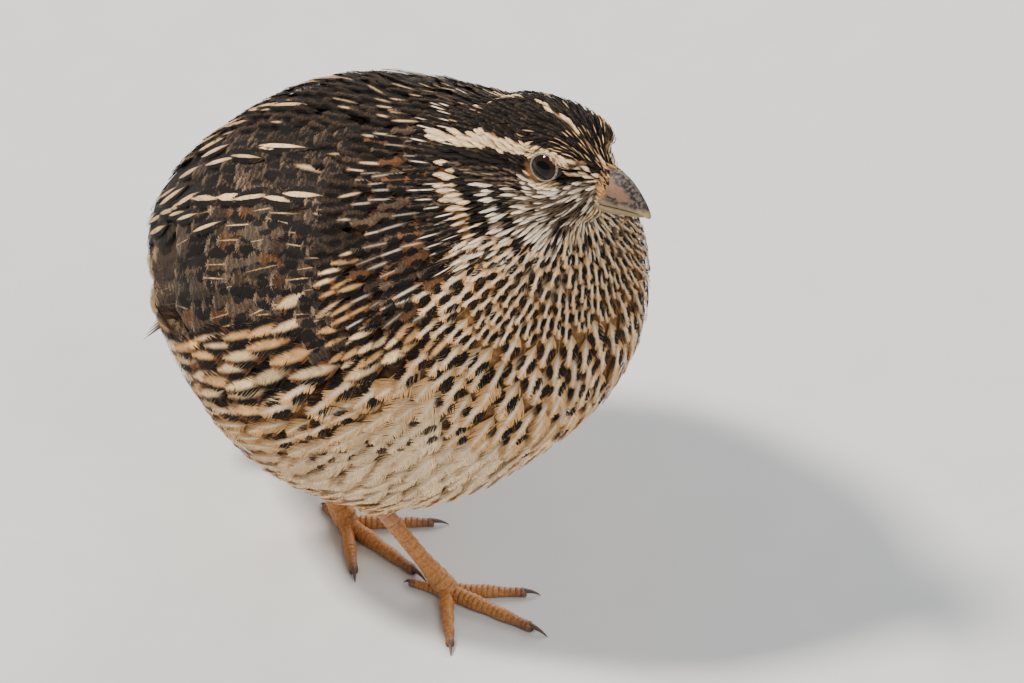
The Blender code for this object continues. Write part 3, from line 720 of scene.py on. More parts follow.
BLACK = np.array([0.009, 0.0065, 0.0055])
DARK = np.array([0.024, 0.0155, 0.0105])
UMBER = np.array([0.058, 0.034, 0.020])
CHESTNUT = np.array([0.17, 0.066, 0.024])
GREY_BROWN = np.array([0.078, 0.053, 0.036])
DRAB = np.array([0.19, 0.125, 0.075])
ORANGE = np.array([0.46, 0.20, 0.055])
WARM_BUFF = np.array([0.60, 0.335, 0.135])
BUFF = np.array([0.62, 0.39, 0.185])
CREAM = np.array([0.78, 0.535, 0.285])
PALE = np.array([0.80, 0.66, 0.49])
BELLY_BUFF = np.array([0.80, 0.56, 0.32])
FACE_TAWNY = np.array([0.40, 0.205, 0.082])
BILL_TAWNY = np.array([0.42, 0.21, 0.08])
# How dark the skin is against the markings: painted shade for the gaps in the coat.
SKIN_SHADE = np.array([0.42, 0.36, 0.30])


def paint(
    count, base, streak=CREAM, side=BLACK, tip=BUFF, bars=0.0, width=0.0, blotch=0.0, fringe=0.0, vary=0.12
):
    """The colours and shares of count feathers, each a little different."""
    light = np.exp(rng.normal(0, vary, (count, 1)))
    marks = {}
    for key, colour, share in zip(COLOURS, (base, streak, side, tip), (bars, width, blotch, fringe)):
        marks[key] = np.empty((count, 4))
        marks[key][:, :3] = colour * light
        marks[key][:, 3] = share
    return marks


def choose(marks, where, other):
    """Puts the values of other where where is true."""
    for key, values in marks.items():
        marks[key] = np.where(where[:, None], other[key], values)
    return marks


def one_of(where, first, second):
    """A colour for each feather: first where where is true, and second elsewhere."""
    return np.where(where[:, None], first, second)


def trunk_marks(p):
    """Markings of the trunk's small feathers, from the places where their tips show."""
    count = len(p)
    s, angle = trunk_coordinates(p)
    x, z = p[:, 0], p[:, 2]
    drift = rng.normal(0, 1, (4, count))
    pick = rng.random((4, count))

    wide = np.where(pick[0] < 0.16, 0.16, 0.0)
    marks = paint(
        count, DARK, CREAM, BLACK, UMBER, bars=0.9, width=wide, blotch=0.5, fringe=0.6, vary=0.25
    )

    low = smooth((angle - 100) / 30)[:, None]
    tone = WARM_BUFF * (1 - low) * 1.05 + BELLY_BUFF * low
    dark = np.where((pick[3] < 0.45) & (s > 4) & (angle < 128), 0.3, 0.0)
    belly = paint(count, tone, PALE, UMBER, CREAM, width=0.12, blotch=dark, fringe=0.3, vary=0.06)

    tone = one_of(pick[1] < 0.65, CHESTNUT * 0.85, UMBER)
    light = one_of(pick[2] < 0.6, CREAM, WARM_BUFF)
    wide = 0.26 + 0.14 * smooth((angle - 72) / 25) + 0.05 * drift[0]
    dark = np.where(pick[0] < 0.6, 0.85, 0.45)
    flank = paint(count, tone, light, BLACK, BUFF, width=wide, blotch=dark, fringe=0.25, vary=0.15)

    dark = np.where(pick[3] < 0.6, 0.5, 0.0)
    lower = paint(count, WARM_BUFF, PALE, BLACK, BUFF, width=0.16, blotch=dark, fringe=0.2, vary=0.07)

    tone = one_of(pick[1] < 0.7, UMBER * 1.25, CHESTNUT * 0.8)
    wide = np.where(pick[2] < 0.5, 0.08 + 0.03 * drift[1], 0.0)
    dark = np.where(pick[3] < 0.55, 0.9, 0.35)
    shoulder = paint(
        count, tone, PALE, BLACK, DRAB, bars=0.3, width=wide, blotch=dark, fringe=0.4, vary=0.25
    )

    dark = (0.56 - 0.22 * smooth((20 - z) / 30)) * (pick[0] < 0.12 + 0.88 * smooth((z + 20) / 38))
    breast = paint(
        count, WARM_BUFF * 1.1, PALE, BLACK, BUFF, width=0.18, blotch=dark, fringe=0.15, vary=0.07
    )

    front = x + 1.5 * drift[0] > 38 - 0.16 * (z - 20)
    high = z > -16 + 2 * drift[1]
    under = angle + 2.5 * drift[1] > 111
    for where, other in (
        ((angle + 2 * drift[2] > 60) & ~under, flank),
        ((angle + 2 * drift[2] > 99) & ~under, lower),
        ((s + 2 * drift[3] > 35) & (angle < 86) & (angle > 14), shoulder),
        (under, belly),
        (front & high, breast),
        (front & ~high, belly),
    ):
        marks = choose(marks, where, other)
    return marks


def wing_marks(count):
    """Coverts: dark brown with black blotches, and thin pale edges and shafts."""
    pick = rng.random((4, count))
    tone = one_of(pick[0] < 0.55, GREY_BROWN * 0.58, UMBER * 0.85)
    tone = one_of(pick[0] > 0.92, CHESTNUT * 0.4, tone)
    wide = np.where(pick[1] < 0.28, 0.045, 0.0)
    dark = np.where(pick[2] < 0.6, 1.0, 0.2)
    edge = np.where(pick[3] < 0.5, 0.6, 0.12)
    return paint(
        count, tone, BUFF, BLACK, DRAB * 1.25, bars=0.25, width=wide, blotch=dark, fringe=edge, vary=0.3
    )


def back_marks(count):
    """Scapulars near the spine: nearly black, with fine brown bars."""
    pick = rng.random((2, count))
    dark = np.where(pick[0] < 0.5, 0.9, 0.3)
    return paint(count, DARK, BUFF, BLACK, DRAB, bars=0.35, blotch=dark, fringe=0.45, vary=0.3)


def flight_marks(count):
    """Flight and tail feathers: grey brown with bars and a pale edge."""
    return paint(
        count, GREY_BROWN * 0.8, DRAB, UMBER, BUFF, bars=0.45, width=0.03, blotch=0.7, fringe=0.5
    )


def streak_marks(count, angle):
    """The long scapulars with a bold cream shaft, warmer near the spine."""
    light = ORANGE * 0.35 + CREAM * 0.65 if angle < 15 else CREAM
    wide = rng.uniform(0.20, 0.36, count)
    return paint(count, DARK, light, BLACK, DRAB, bars=0.3, width=wide, blotch=0.95, fringe=0.2)


# Lines of the head's markings: forward, out to the side, up, half width.
BROW_STRIPE = (
    (18, 11, 55.8, 1.1), (24, 10, 57.4, 1.7), (30.5, 9, 59.2, 2.0), (38.5, 9.6, 61.5, 1.7),
    (46, 9.6, 63.3, 1.5), (51.5, 9.2, 64.4, 1.0), (56, 7, 62.4, 1.2), (60.5, 4, 59.5, 1.2),
)
EAR_TOP = ((22, 14, 54.2, 2.0), (31.4, 11.9, 55.9, 1.6), (39.5, 11, 57.8, 1.3), (44, 10.8, 59, 0.7))
EAR = ((31, 14, 53.4, 2.8), (38, 12.6, 54.8, 3.0), (43.5, 11.9, 55.8, 2.0))
BUFF_PATCH = ((26.2, 16.1, 52.9, 1.8), (33.1, 18.8, 49.5, 2.6), (39, 20.4, 44.9, 2.6))
BLACK_PATCH = ((31.0, 15.8, 52.4, 1.6), (36.6, 17.7, 49.1, 2.1), (41.1, 18.9, 45.3, 2.0))
WHITE_BAND = ((36.6, 15.0, 51.8, 1.4), (41, 16.9, 47.8, 2.0), (44.6, 17.9, 43.2, 2.1))
BLACK_BAND = (
    (40.0, 14.1, 52.4, 0.9), (43.9, 15, 48.3, 1.1), (47.0, 15.9, 43.6, 1.1), (50.0, 15.9, 41.0, 0.9),
)
LORE = ((53.8, 8.2, 59.3, 0.9), (57.2, 6.3, 58.0, 0.5))
LORE_TOP = ((55, 7.4, 61.4, 0.9), (61, 3.8, 58.9, 1.2))
MALAR = (
    (59.4, 4.8, 52.2, 0.4), (56.2, 7.3, 48.6, 0.7), (54.4, 9.0, 45.2, 0.9), (53.6, 10.6, 41.6, 0.9),
)
GAPE = ((57.5, 6.2, 53.6, 0.5), (51, 9.9, 52.6, 0.8), (44, 12.2, 53.6, 0.6))
CHIN_PATCH = ((60.5, 2.5, 49.5, 1.6), (58.5, 4.0, 45.5, 2.2), (57.0, 5.5, 41.5, 2.2))
AROUND_EYE = 4.7


def thigh_marks(p):
    return paint(len(p), CREAM, PALE, BUFF, PALE, width=0.25, vary=0.07)


def one_side(p):
    """Points with those of the right side moved to the left."""
    return np.stack([p[:, 0], np.abs(p[:, 1]), p[:, 2]], -1)


def radii_from(p, line):
    """How far points are from a line of the head's markings, counted in its own half widths."""
    q = one_side(p)
    line = np.asarray(line, float)
    ends, radius = line[:, :3], line[:, 3]
    best = np.full(len(q), 1e9)
    for a, b, ra, rb in zip(ends[:-1], ends[1:], radius[:-1], radius[1:]):
        t = np.clip(((q - a) @ (b - a)) / ((b - a) @ (b - a)), 0, 1)
        gap = np.linalg.norm(q - a - t[:, None] * (b - a), axis=-1) / (ra + (rb - ra) * t)
        best = np.minimum(best, gap)
    return best


def head_marks(p):
    """Markings of the head's small feathers, from the places where their tips show."""
    count = len(p)
    pick = rng.random((3, count))
    drift = rng.normal(0, 0.09, (3, count))
    side = np.abs(p[:, 1])
    x, z = p[:, 0], p[:, 2]

    wide = np.where(pick[0] < 0.06 + 0.5 * smooth((x - 47) / 10), 0.22, 0)
    edge = np.where(pick[1] < 0.5, 0.45, 0.1)
    marks = paint(
        count, DARK, BUFF, BLACK, DRAB, bars=0.2, width=wide, blotch=0.8, fringe=edge, vary=0.3
    )
    freckled = pick[0] < 0.40
    tone = one_of(freckled, UMBER * 0.8, PALE)
    light = one_of(freckled, DRAB, PALE)
    dark = np.where(freckled, 0.5, 0.0)
    cheek = paint(count, tone, light, UMBER, tone, width=0.35, blotch=dark)
    throat = paint(count, CREAM, PALE, BLACK, PALE, width=0.3, vary=0.08)
    black = paint(count, BLACK * 1.3, UMBER, BLACK, UMBER, width=0.05, blotch=0.5, fringe=0.15)
    wide = np.where(pick[2] < 0.4, 0.2, 0.0)
    ear = paint(count, GREY_BROWN, DRAB, DARK, DRAB, width=wide, blotch=0.5, fringe=0.3, vary=0.3)
    cream = paint(count, CREAM, PALE, BUFF, PALE, width=0.2, vary=0.08)
    white = paint(count, PALE, PALE, DRAB, PALE, width=0.3, vary=0.08)
    white = choose(white, pick[1] < 0.16, ear)
    dark = np.where(pick[2] < 0.25, 0.5, 0.0)
    buff = paint(count, BUFF, PALE, UMBER, CREAM, width=0.3, blotch=dark, vary=0.1)
    orange = paint(count, FACE_TAWNY, CREAM, UMBER, BUFF, width=0.3, vary=0.2)
    wide = np.where(pick[0] < 0.4, 0.16, 0)
    nape = paint(
        count, UMBER, PALE, BLACK, DRAB, bars=0.3, width=wide, blotch=0.9, fringe=0.35, vary=0.2
    )

    marks = choose(marks, (x < 38) & (z < 58), nape)
    marks = choose(marks, (x >= 38) & (z < 58), cheek)
    for line, k, other in (
        (EAR, 0, ear),
        (EAR_TOP, 1, black),
        (BUFF_PATCH, 1, buff),
        (WHITE_BAND, 2, white),
        (BLACK_PATCH, 0, black),
        (BLACK_BAND, 2, black),
        (CHIN_PATCH, 0, throat),
        (MALAR, 1, black),
        (GAPE, 2, black),
    ):
        marks = choose(marks, radii_from(p, line) + drift[k] < 1, other)
    beside = np.linalg.norm(one_side(p) - (EYE + [0, 2.6, 0]), axis=-1)
    marks = choose(marks, beside + 4 * drift[0] < AROUND_EYE, orange)
    for line, k, other in ((BROW_STRIPE, 0, cream), (LORE_TOP, 1, buff), (LORE, 1, black)):
        marks = choose(marks, radii_from(p, line) + drift[k] < 1, other)
    return choose(marks, (side < 0.5) & (z > 57) & (x > 18) & (pick[1] < 0.75), cream)


# Skin

def body_rings(field, count, gap, head_gap):
    """Rings of the skin from the rump to the face, crossing the trunk, the neck's bend and the head."""
    pole = shoot(field, axis_point(-45.0)[None], -TRUNK_AXIS[None])[0]
    end = (pole - TRUNK_ORIGIN) @ TRUNK_AXIS
    stations = np.concatenate([end + np.array([0.15, 0.8, 1.8]), np.arange(end + 3.2, FAN_START, gap)])
    rings = [(axis_point(s), TRUNK_PITCH) for s in stations]
    start, finish = axis_point(FAN_START), CUT_AXIS * NECK_CUT + CUT_UP * 2.0
    steps = int(FAN_LENGTH / gap)
    for k in range(steps):
        t = k / steps
        pitch = TRUNK_PITCH + (CUT_PITCH - TRUNK_PITCH) * t
        axis, _ = direction(pitch)
        guess = start * (1 - t) + finish * t
        off = axis[0] * (guess[0] - FAN_PIVOT[0]) + axis[2] * (guess[2] - FAN_PIVOT[1])
        rings.append((guess - axis * off, pitch))
    rises = np.linspace(-9.0, 7.0, 65)
    ends = shoot(field, CUT_AXIS * 70.0 + np.multiply.outer(rises, CUT_UP), CUT_AXIS, 30.0) @ CUT_AXIS
    top, rise = ends.max(), rises[ends.argmax()]
    for d in np.append(np.arange(NECK_CUT, top - 0.5, head_gap), [top - 0.3, top - 0.1]):
        height = 3.0 + (rise - 3.0) * smooth((d - 60.0) / (top - 60.0))
        rings.append((CUT_AXIS * d + CUT_UP * height, CUT_PITCH))
    centres = np.repeat(np.array([c for c, _ in rings]), count, axis=0)
    ways = np.concatenate([circle(count, direction(pitch)[1], SIDEWAYS) for _, pitch in rings])
    return list(shoot(field, centres, ways).reshape(len(rings), count, 3))


def ball(centre, radius, across=32, down=16):
    """A sphere whose poles are above and below its centre."""
    b = full_turn(across)
    rings = []
    for t in np.linspace(0.05, math.pi - 0.05, down):
        ring = np.stack([np.sin(t) * np.cos(b), np.sin(t) * np.sin(b), np.full(across, math.cos(t))], -1)
        rings.append(ring * radius + centre)
    return lofted(rings)


def skin_tones(p):
    """The markings' own colour at each point of the skin, darkened as painted shade for where the skin
    shows in the coat's gaps.
    """
    tones = np.zeros((len(p), 4))
    tones[:, 3] = 1
    head = head_share(p) > 0.5
    for where, marker in ((head, head_marks), (~head, trunk_marks)):
        tones[where, :3] = marker(p[where])["base"][:, :3] * SKIN_SHADE
    return tones


def make_skin():
    rings = body_rings(lambda p: plumage(p) + coat_depth(p) + WING_RECESS * recess(p), 120, 1.6, 0.8)
    skin = outward(mesh_from("skin", *lofted(rings)))
    for leg in LEGS.values():
        combine(skin, outward(mesh_from("thigh", *thigh_mesh(leg)[0])), "UNION")
    for side in (1, -1):
        socket = ball(eye_centre(side), EYE_RADIUS + SOCKET_GAP)
        combine(skin, outward(mesh_from("socket", *socket)), "DIFFERENCE")
    mesh = skin.data
    mesh.polygons.foreach_set("use_smooth", np.ones(len(mesh.polygons), bool))
    points = np.empty(len(mesh.vertices) * 3, np.float32)
    mesh.vertices.foreach_get("co", points)
    points = (points.reshape(-1, 3) - TO_FRAME) * 1000
    layer = mesh.attributes.new("tone", "FLOAT_COLOR", "POINT")
    layer.data.foreach_set("color", skin_tones(points).astype(np.float32).ravel())
    settle(skin, skin_material(), "plumage", "torso", "neck", "head", "thigh_left", "thigh_right")


# Roots

def scattered(rings, spacing, stretch=1.0):
    """Seeded points spread evenly over a surface of rings, at least spacing(p) apart on average.

    With stretch they lie further apart along the coat than across it.
    """
    points, triangles = lofted(rings)
    wanted = spacing(points[triangles].mean(1)) > 0
    return scattered_on(points, triangles[wanted], spacing, TRIES, stretch)


def scattered_on(points, triangles, spacing, tries, stretch=1.0):
    """The same for a mesh, from that many random tries."""
    corners = points[triangles]
    areas = np.linalg.norm(np.cross(corners[:, 1] - corners[:, 0], corners[:, 2] - corners[:, 0]), axis=1)
    picked = rng.choice(len(corners), tries, p=areas / areas.sum())
    a, b = rng.random((2, tries))
    flip = a + b > 1
    a, b = np.where(flip, 1 - a, a), np.where(flip, 1 - b, b)
    c = corners[picked]
    p = c[:, 0] + a[:, None] * (c[:, 1] - c[:, 0]) + b[:, None] * (c[:, 2] - c[:, 0])
    gaps = spacing(p)
    headings = unit(lie(p))
    cells = {}
    kept = []
    for k in np.flatnonzero(gaps > 0):
        reach = gaps[k] * math.sqrt(stretch)
        low = ((p[k] - reach) // CELL).astype(int)
        top = ((p[k] + reach) // CELL).astype(int)
        close = []
        for cell in itertools.product(*[range(first, last + 1) for first, last in zip(low, top)]):
            close += cells.get(cell, ())
        if close:
            apart = np.asarray(close) - p[k]
            along = apart @ headings[k]
            square = (apart * apart).sum(1) - along * along * (1 - 1 / stretch**2)
            if square.min() < gaps[k] ** 2 / stretch:
                continue
        cells.setdefault(tuple((p[k] // CELL).astype(int)), []).append(p[k])
        kept.append(k)
    return p[kept]


# Where the coat's lie starts, how far it keeps from the eye, and how far feathers are turned off it.
FLOW_START = np.array([60.0, 0.0, 57.0])
EYE_CLEAR = 3.5
COAT_STRAY = 5.0
# Random tries for the roots of a coat, and the side of the cells that near roots are looked for in.
TRIES = 60000
CELL = 4.0


def lie(p):
    """The way that the coat lies: away from the face, round the eyes, and along the trunk to the tail."""
    away = unit(p - FLOW_START)
    share = smooth((p[:, 0] * 0.8 + p[:, 2] * 0.6 + 6) / 56)[:, None]
    ways = unit(away * share - TRUNK_AXIS * (1 - share))
    for side in (1, -1):
        axis = eye_axis(side)
        q = p - eye_centre(side)
        out = q @ axis
        q = q - out[:, None] * axis
        r = np.linalg.norm(q, axis=-1, keepdims=True)
        pull = np.minimum((EYE_CLEAR / (r + 1e-6)) ** 2, 1.0) * ((out > -3) & (r[:, 0] < 8))[:, None]
        q = unit(q)
        ways = ways * (1 + pull) - 2 * (ways * q).sum(-1, keepdims=True) * pull * q
    return unit(ways)


def turned(ways, normals, degrees):
    """Ways turned about the normals."""
    a = np.radians(degrees)[:, None]
    return ways * np.cos(a) + np.cross(normals, ways) * np.sin(a)


def coat(field, roots, length, half, high, marker, barbs, ways=None, **shape):
    """Feathers at these roots, lying with the coat, each a little turned. marker gives their markings."""
    n = unit(gradient(field, roots))
    ways = flattened(lie(roots) if ways is None else ways, n)
    ways = turned(ways, n, rng.normal(0, COAT_STRAY, len(roots)))
    length = length * rng.normal(1, 0.07, len(roots))
    marks = marker(rest_on(plumage, roots + ways * (length * 0.84)[:, None], rounds=2))
    high = high + rng.normal(0, 0.08, len(roots))
    return feathers(field, roots, ways, length, half, 0.02, high, marks, barbs, **shape)


def in_parts(name, roots, most, make, material, slot):
    """Splits a coat into pieces under the most feathers, along the bird."""
    order = np.argsort(chart(roots)[:, 0])
    pieces = np.array_split(order, max(1, math.ceil(len(order) / most)))
    for k, chosen in enumerate(pieces):
        coat_piece(f"{name}_{k + 1}", [make(roots[chosen])], material, slot)


def on_head(p):
    """Where the head's own small feathers grow."""
    return (p @ CUT_AXIS > 54.5) & ((p[:, 2] > 39.5) | (p[:, 0] < 42))


def wing_area(p):
    """Where wing feathers grow in place of the body's."""
    s, angle = trunk_coordinates(p)
    return (angle > 17) & (angle < 77 - 0.2 * s) & (s < 30) & (s > -70)


def thigh_gap(p):
    return np.minimum(*[thigh(p, leg) for leg in LEGS.values()])


def body_spacing(p):
    """The gap between roots of the body's feathers, and 0 where none grow."""
    s, angle = trunk_coordinates(p)
    x, z = p[:, 0], p[:, 2]
    belly = angle > 104
    back = angle < 30
    breast = (x > 36) & (angle > 80)
    below_chin = (x > 46) & (z > 26) & (z < 46)
    neck = (s > 34) & (angle < 90) & (x < 46)
    well_in_head = (p @ CUT_AXIS > 58.5) & ((z > 45) | (x < 42))
    gap = np.where(belly, 3.2, 4.5)
    gap = np.where(back, 2.7, gap)
    gap = np.where(breast, 2.5 + 1.2 * smooth((40 - z) / 36), gap)
    gap = np.where(below_chin, 1.9, gap)
    gap = np.where(neck, 2.5, gap)
    gap = np.where(wing_area(p), 0, gap)
    gap = np.where(thigh_gap(p) < 1.0, 1.7, gap)
    return np.where(well_in_head, 0, gap)


BODY_STRETCH = 1.9


def make_body_coat(rings):
    material = feather_material("plumage", 0.22, 0.85)
    roots = scattered(rings, body_spacing, BODY_STRETCH)
    shape = {"first": 0.3, "sweep": 0.55, "radius": 42.0, "point": 1.8, "camber": 0.05, "ragged": 1.3}

    def feathers_at(p):
        gap = body_spacing(p)
        length = np.where(thigh_gap(p) < 1.0, 5.0, gap * 3.7)
        angle = trunk_coordinates(p)[1]
        over_wing = 0.9 * smooth((angle - 64) / 6) * smooth((96 - angle) / 10) * recess(p)
        high = BODY_DEPTH - 0.9 * on_head(p) + over_wing
        half = gap * np.where(p[:, 0] > 36, 0.88, 0.78)
        return coat(skin_field, p, length, half, high, trunk_marks, 26, **shape)

    in_parts("coat_body", roots, 850, feathers_at, material, "plumage")
    legs = []
    for leg in LEGS.values():
        mesh, along = thigh_mesh(leg)
        spots = scattered_on(*mesh, lambda p: np.where(plumage(p) > -1.0, 1.3, 0.0), 4000)
        length = np.full(len(spots), 4.6)
        legs.append(coat(skin_field, spots, length, 1.3, 0.9, thigh_marks, 9, radius=8.0, ways=along))
    coat_piece("coat_thighs", legs, material, "plumage")


def head_spacing(p):
    """The gap between roots of the head's feathers, and 0 where none grow."""
    cheek = (p[:, 0] > 40) & (p[:, 2] < 57.5)
    face = p[:, 0] > 53
    from_eye = np.linalg.norm(one_side(p) - (EYE + [0, 3.0, 0]), axis=-1)
    gap = 1.6 - 0.5 * smooth((p @ CUT_AXIS - 56) / 8)
    gap = np.where(cheek, 1.1, gap)
    gap = np.where(face, 0.9, gap)
    gap = np.where(from_eye < 6.0, 0.8, gap)
    gap = np.where(from_eye < 3.5, 0, gap)
    return np.where(on_head(p), gap, 0)


# Where the bill leaves the face, its length and half width there, and the feathers on each side of it.
BILL_START = 60.0
BILL_LENGTH = 13.3
BILL_HALF = 3.6
FRINGE_COUNT = 150


def make_bill_fringe(material):
    """Short feathers that lean forward over the bill's base."""
    roots = []
    for side in (1, -1):
        for _ in range(FRINGE_COUNT):
            rise = rng.random()
            y = (3.9 - 3.4 * smooth((rise - 0.55) / 0.45)) * rng.uniform(0.75, 1.05)
            x = BILL_START + 0.6 + 1.2 * math.sin(math.pi * rise) + rng.uniform(-1.4, 0.6)
            roots.append((x, side * y, 52.6 + 8.2 * rise))
    roots = np.array(roots)
    count = len(roots)
    z = roots[:, 2]
    ways = np.stack([np.ones(count), np.sign(roots[:, 1]) * 0.10, np.full(count, -0.35)], -1)
    marks = paint(count, BILL_TAWNY, BUFF, UMBER, BUFF, width=0.25, vary=0.2)
    marks = choose(marks, z < 55.6, paint(count, CREAM, PALE, UMBER, BUFF, width=0.25))
    black = (z > 58.3) & (rng.random(count) < 0.6)
    marks = choose(marks, black, paint(count, BLACK, UMBER, BLACK, UMBER, vary=0.2))
    lengths = rng.uniform(1.8, 2.7, count)
    shape = {"first": 0.1, "sweep": 0.6, "radius": 6.0, "point": 1.4, "ragged": 1.5}

    def face(p):
        return blend([skin_field(p), bill_field(p)], 0.5)

    laid = feathers(face, roots, ways, lengths, 0.42, 0.1, 0.45, marks, 7, **shape)
    coat_piece("coat_bill_base", [laid], material, "crown_plumage")


def bill_field(p):
    """Near distance to the bill's base, a taper from the face that is a little higher than wide."""
    t = (p[..., 0] - BILL_START) / BILL_LENGTH
    half = np.maximum(BILL_HALF * np.maximum(1 - t, 0) ** 0.8, 0.3)
    centre = 56.6 - 2.2 * np.clip(t, 0, 1) ** 2
    return np.hypot(p[..., 1], (p[..., 2] - centre) * half / (half + 0.35)) - half


def make_head_coat(rings):
    material = feather_material("head_plumage", 0.12, 0.85)
    roots = scattered(rings, head_spacing)
    shape = {"first": 0.2, "sweep": 0.62, "radius": 14.0, "flow": lie, "point": 1.5}

    def feathers_at(p):
        gap = head_spacing(p)
        cheek = (p[:, 0] > 38) & (p[:, 2] < 55)
        length = gap * np.where(cheek, 4.6, 3.6)
        half = gap * np.where(cheek, 0.42, 0.6)
        depth = coat_depth(p) * 0.95 + 0.3 * smooth((60 - p @ CUT_AXIS) / 6)
        return coat(skin_field, p, length, half, depth, head_marks, 9, **shape)

    in_parts("coat_head", roots, 1600, feathers_at, material, "crown_plumage")
    make_bill_fringe(material)


# Wings and tail

# Primaries, secondaries and tertials: first and last angle, first and last station, count, length,
# half width, height.
FLIGHT = (
    (61, 86, -14, -24, 9, 38, 3.9, 0.9),
    (43, 60, -7, -12, 7, 36, 4.3, 1.9),
    (24, 41, -3, -7, 4, 37, 5.6, 2.9),
)
# Coverts and scapulars: first and last angle, station, count, length, half width, and the root's depth
# under the outer surface.
COVERTS = (
    (40, 80, -2, 16, 19, 3.4, 1.9),
    (38, 80, 4, 16, 17, 3.3, 1.6),
    (40, 82, 10, 17, 15, 3.1, 1.3),
    (38, 83, 16, 17, 14, 3.0, 1.1),
    (40, 84, 21, 17, 13, 2.9, 0.9),
    (38, 84, 26, 18, 12, 2.7, 0.8),
    (40, 84, 30, 18, 10, 2.5, 0.7),
    (38, 83, 34, 18, 9, 2.3, 0.6),
)
SCAPULARS = (
    (17, 45, -47, 8, 17, 3.5, 1.7),
    (17, 43, -41, 8, 19, 3.7, 1.65),
    (18, 40, -34, 8, 21, 3.9, 1.6),
    (17, 37, -27, 7, 22, 4.0, 1.5),
    (18, 39, -20, 7, 21, 4.0, 1.3),
    (16, 39, -13, 7, 19, 3.8, 1.2),
    (18, 40, -6, 8, 17, 3.6, 1.1),
    (16, 39, 0, 8, 15, 3.5, 1.0),
    (17, 40, 6, 8, 14, 3.3, 0.9),
    (16, 36, 12, 7, 13, 3.0, 0.8),
    (17, 37, 18, 7, 12, 2.9, 0.7),
    (16, 36, 24, 8, 11, 2.7, 0.6),
    (17, 37, 29, 8, 10, 2.5, 0.6),
    (16, 36, 33, 8, 9, 2.3, 0.5),
)
# Rows of bold cream shafts: angle, first and last station, count, length, half width.
STREAKS = (
    (8, -36, 14, 8, 15, 2.6),
    (13, -28, -4, 4, 14, 2.4),
    (26, -38, 24, 9, 14, 2.0),
    (39, -36, 30, 11, 14, 2.4),
    (44, -30, 2, 4, 12, 1.9),
)


def row(field, a0, a1, s0, s1, count, side, stray=1.0):
    """Roots in a row from one angle and station to another, each a little off it."""
    t = np.linspace(0, 1, count)
    angle = a0 + (a1 - a0) * t + rng.normal(0, 0.6 * stray, count)
    s = s0 + (s1 - s0) * t + rng.normal(0, 0.7 * stray, count)
    return surface_points(field, s, angle, side)


def make_wing(side, name, material):
    parts = []
    shape = {"sweep": 0.16, "ragged": 0.25, "camber": 0.06, "first": 0.04, "point": 2.6}
    for a0, a1, s0, s1, count, length, half, height in FLIGHT:
        for k, root in enumerate(row(under_wing, a0, a1, s0, s1, count, side)):
            lift = height + 0.16 * (count - 1 - k)
            long = length + 5.0 * math.sin(math.pi * k / (count - 1))
            n = unit(gradient(under_wing, root[None]))
            ways = turned(-TRUNK_AXIS, n, np.array([side * 3.0]))
            ends = (lift - 0.5, lift + 0.5)
            marks = flight_marks(1)
            parts.append(feathers(under_wing, root[None], ways, long, half, *ends, marks, 60, **shape))
    coat_piece(f"{name}_flights", parts, material, "wing_feathers", name)
    parts = []
    shape = {"sweep": 0.22, "ragged": 0.5, "first": 0.15, "point": 2.6}
    for rows, maker in ((COVERTS, wing_marks), (SCAPULARS, back_marks)):
        for a0, a1, s, count, length, half, depth in rows:
            roots = row(plumage, a0, a1, s, s, count, side, 1.6)
            ways = turned(-TRUNK_AXIS, unit(gradient(plumage, roots)), rng.normal(0, 7, count))
            high = -0.15 - depth * 0.25 + rng.normal(0, 0.1, count)
            lengths = length * rng.normal(1, 0.06, count)
            marks = maker(count)
            ends = (-depth - 1.0, high)
            parts.append(feathers(plumage, roots, ways, lengths, half, *ends, marks, 24, **shape))
    shape = {"sweep": 0.3, "ragged": 0.5, "first": 0.15, "point": 1.6}
    for angle, s0, s1, count, length, half in STREAKS:
        s = np.linspace(s0, s1, count) + rng.normal(0, 1.6, count)
        roots = surface_points(plumage, s, angle + rng.normal(0, 1.8, count), side)
        ways = turned(-TRUNK_AXIS, unit(gradient(plumage, roots)), rng.normal(0, 4, count))
        lengths = length * rng.normal(1, 0.1, count)
        marks = streak_marks(count, angle)
        parts.append(feathers(plumage, roots, ways, lengths, half, -0.9, 0.15, marks, 22, **shape))
    coat_piece(f"{name}_coverts", parts, material, "wing_feathers")


# Pairs of tail feathers, the middle pair's length, half a feather's width, and the tail's droop.
TAIL_PAIRS = 6
TAIL_LENGTH = 24.5
TAIL_HALF = 4.2
TAIL_DROOP = 10


def make_tail(material):
    base = axis_point(-50.0) - TRUNK_UP * 1.0
    droop = math.radians(TAIL_DROOP)
    back = -TRUNK_AXIS * math.cos(droop) - TRUNK_UP * math.sin(droop)
    over = np.cross(back, -SIDEWAYS)
    shape = {"sweep": 0.14, "ragged": 0.12, "curl": -2.0, "first": 0.04, "point": 3.2}
    parts = []
    for k in range(TAIL_PAIRS):
        for side in (1, -1):
            spread = math.radians(2.0 + 3.0 * k) * side
            way = back * math.cos(spread) + SIDEWAYS * math.sin(spread)
            root = base + SIDEWAYS * side * (0.8 + 1.3 * k) - over * (0.5 * k + 0.25 * (side < 0))

            def flat(p, origin=root):
                return (p - origin) @ over

            length = TAIL_LENGTH - 0.8 * k
            marks = flight_marks(1)
            parts.append(
                feathers(flat, root[None], way[None], length, TAIL_HALF, 0.0, 0.0, marks, 44, **shape)
            )
    coat_piece("tail_feathers", parts, material, "wing_feathers", "tail")


# Eyes, bill, legs

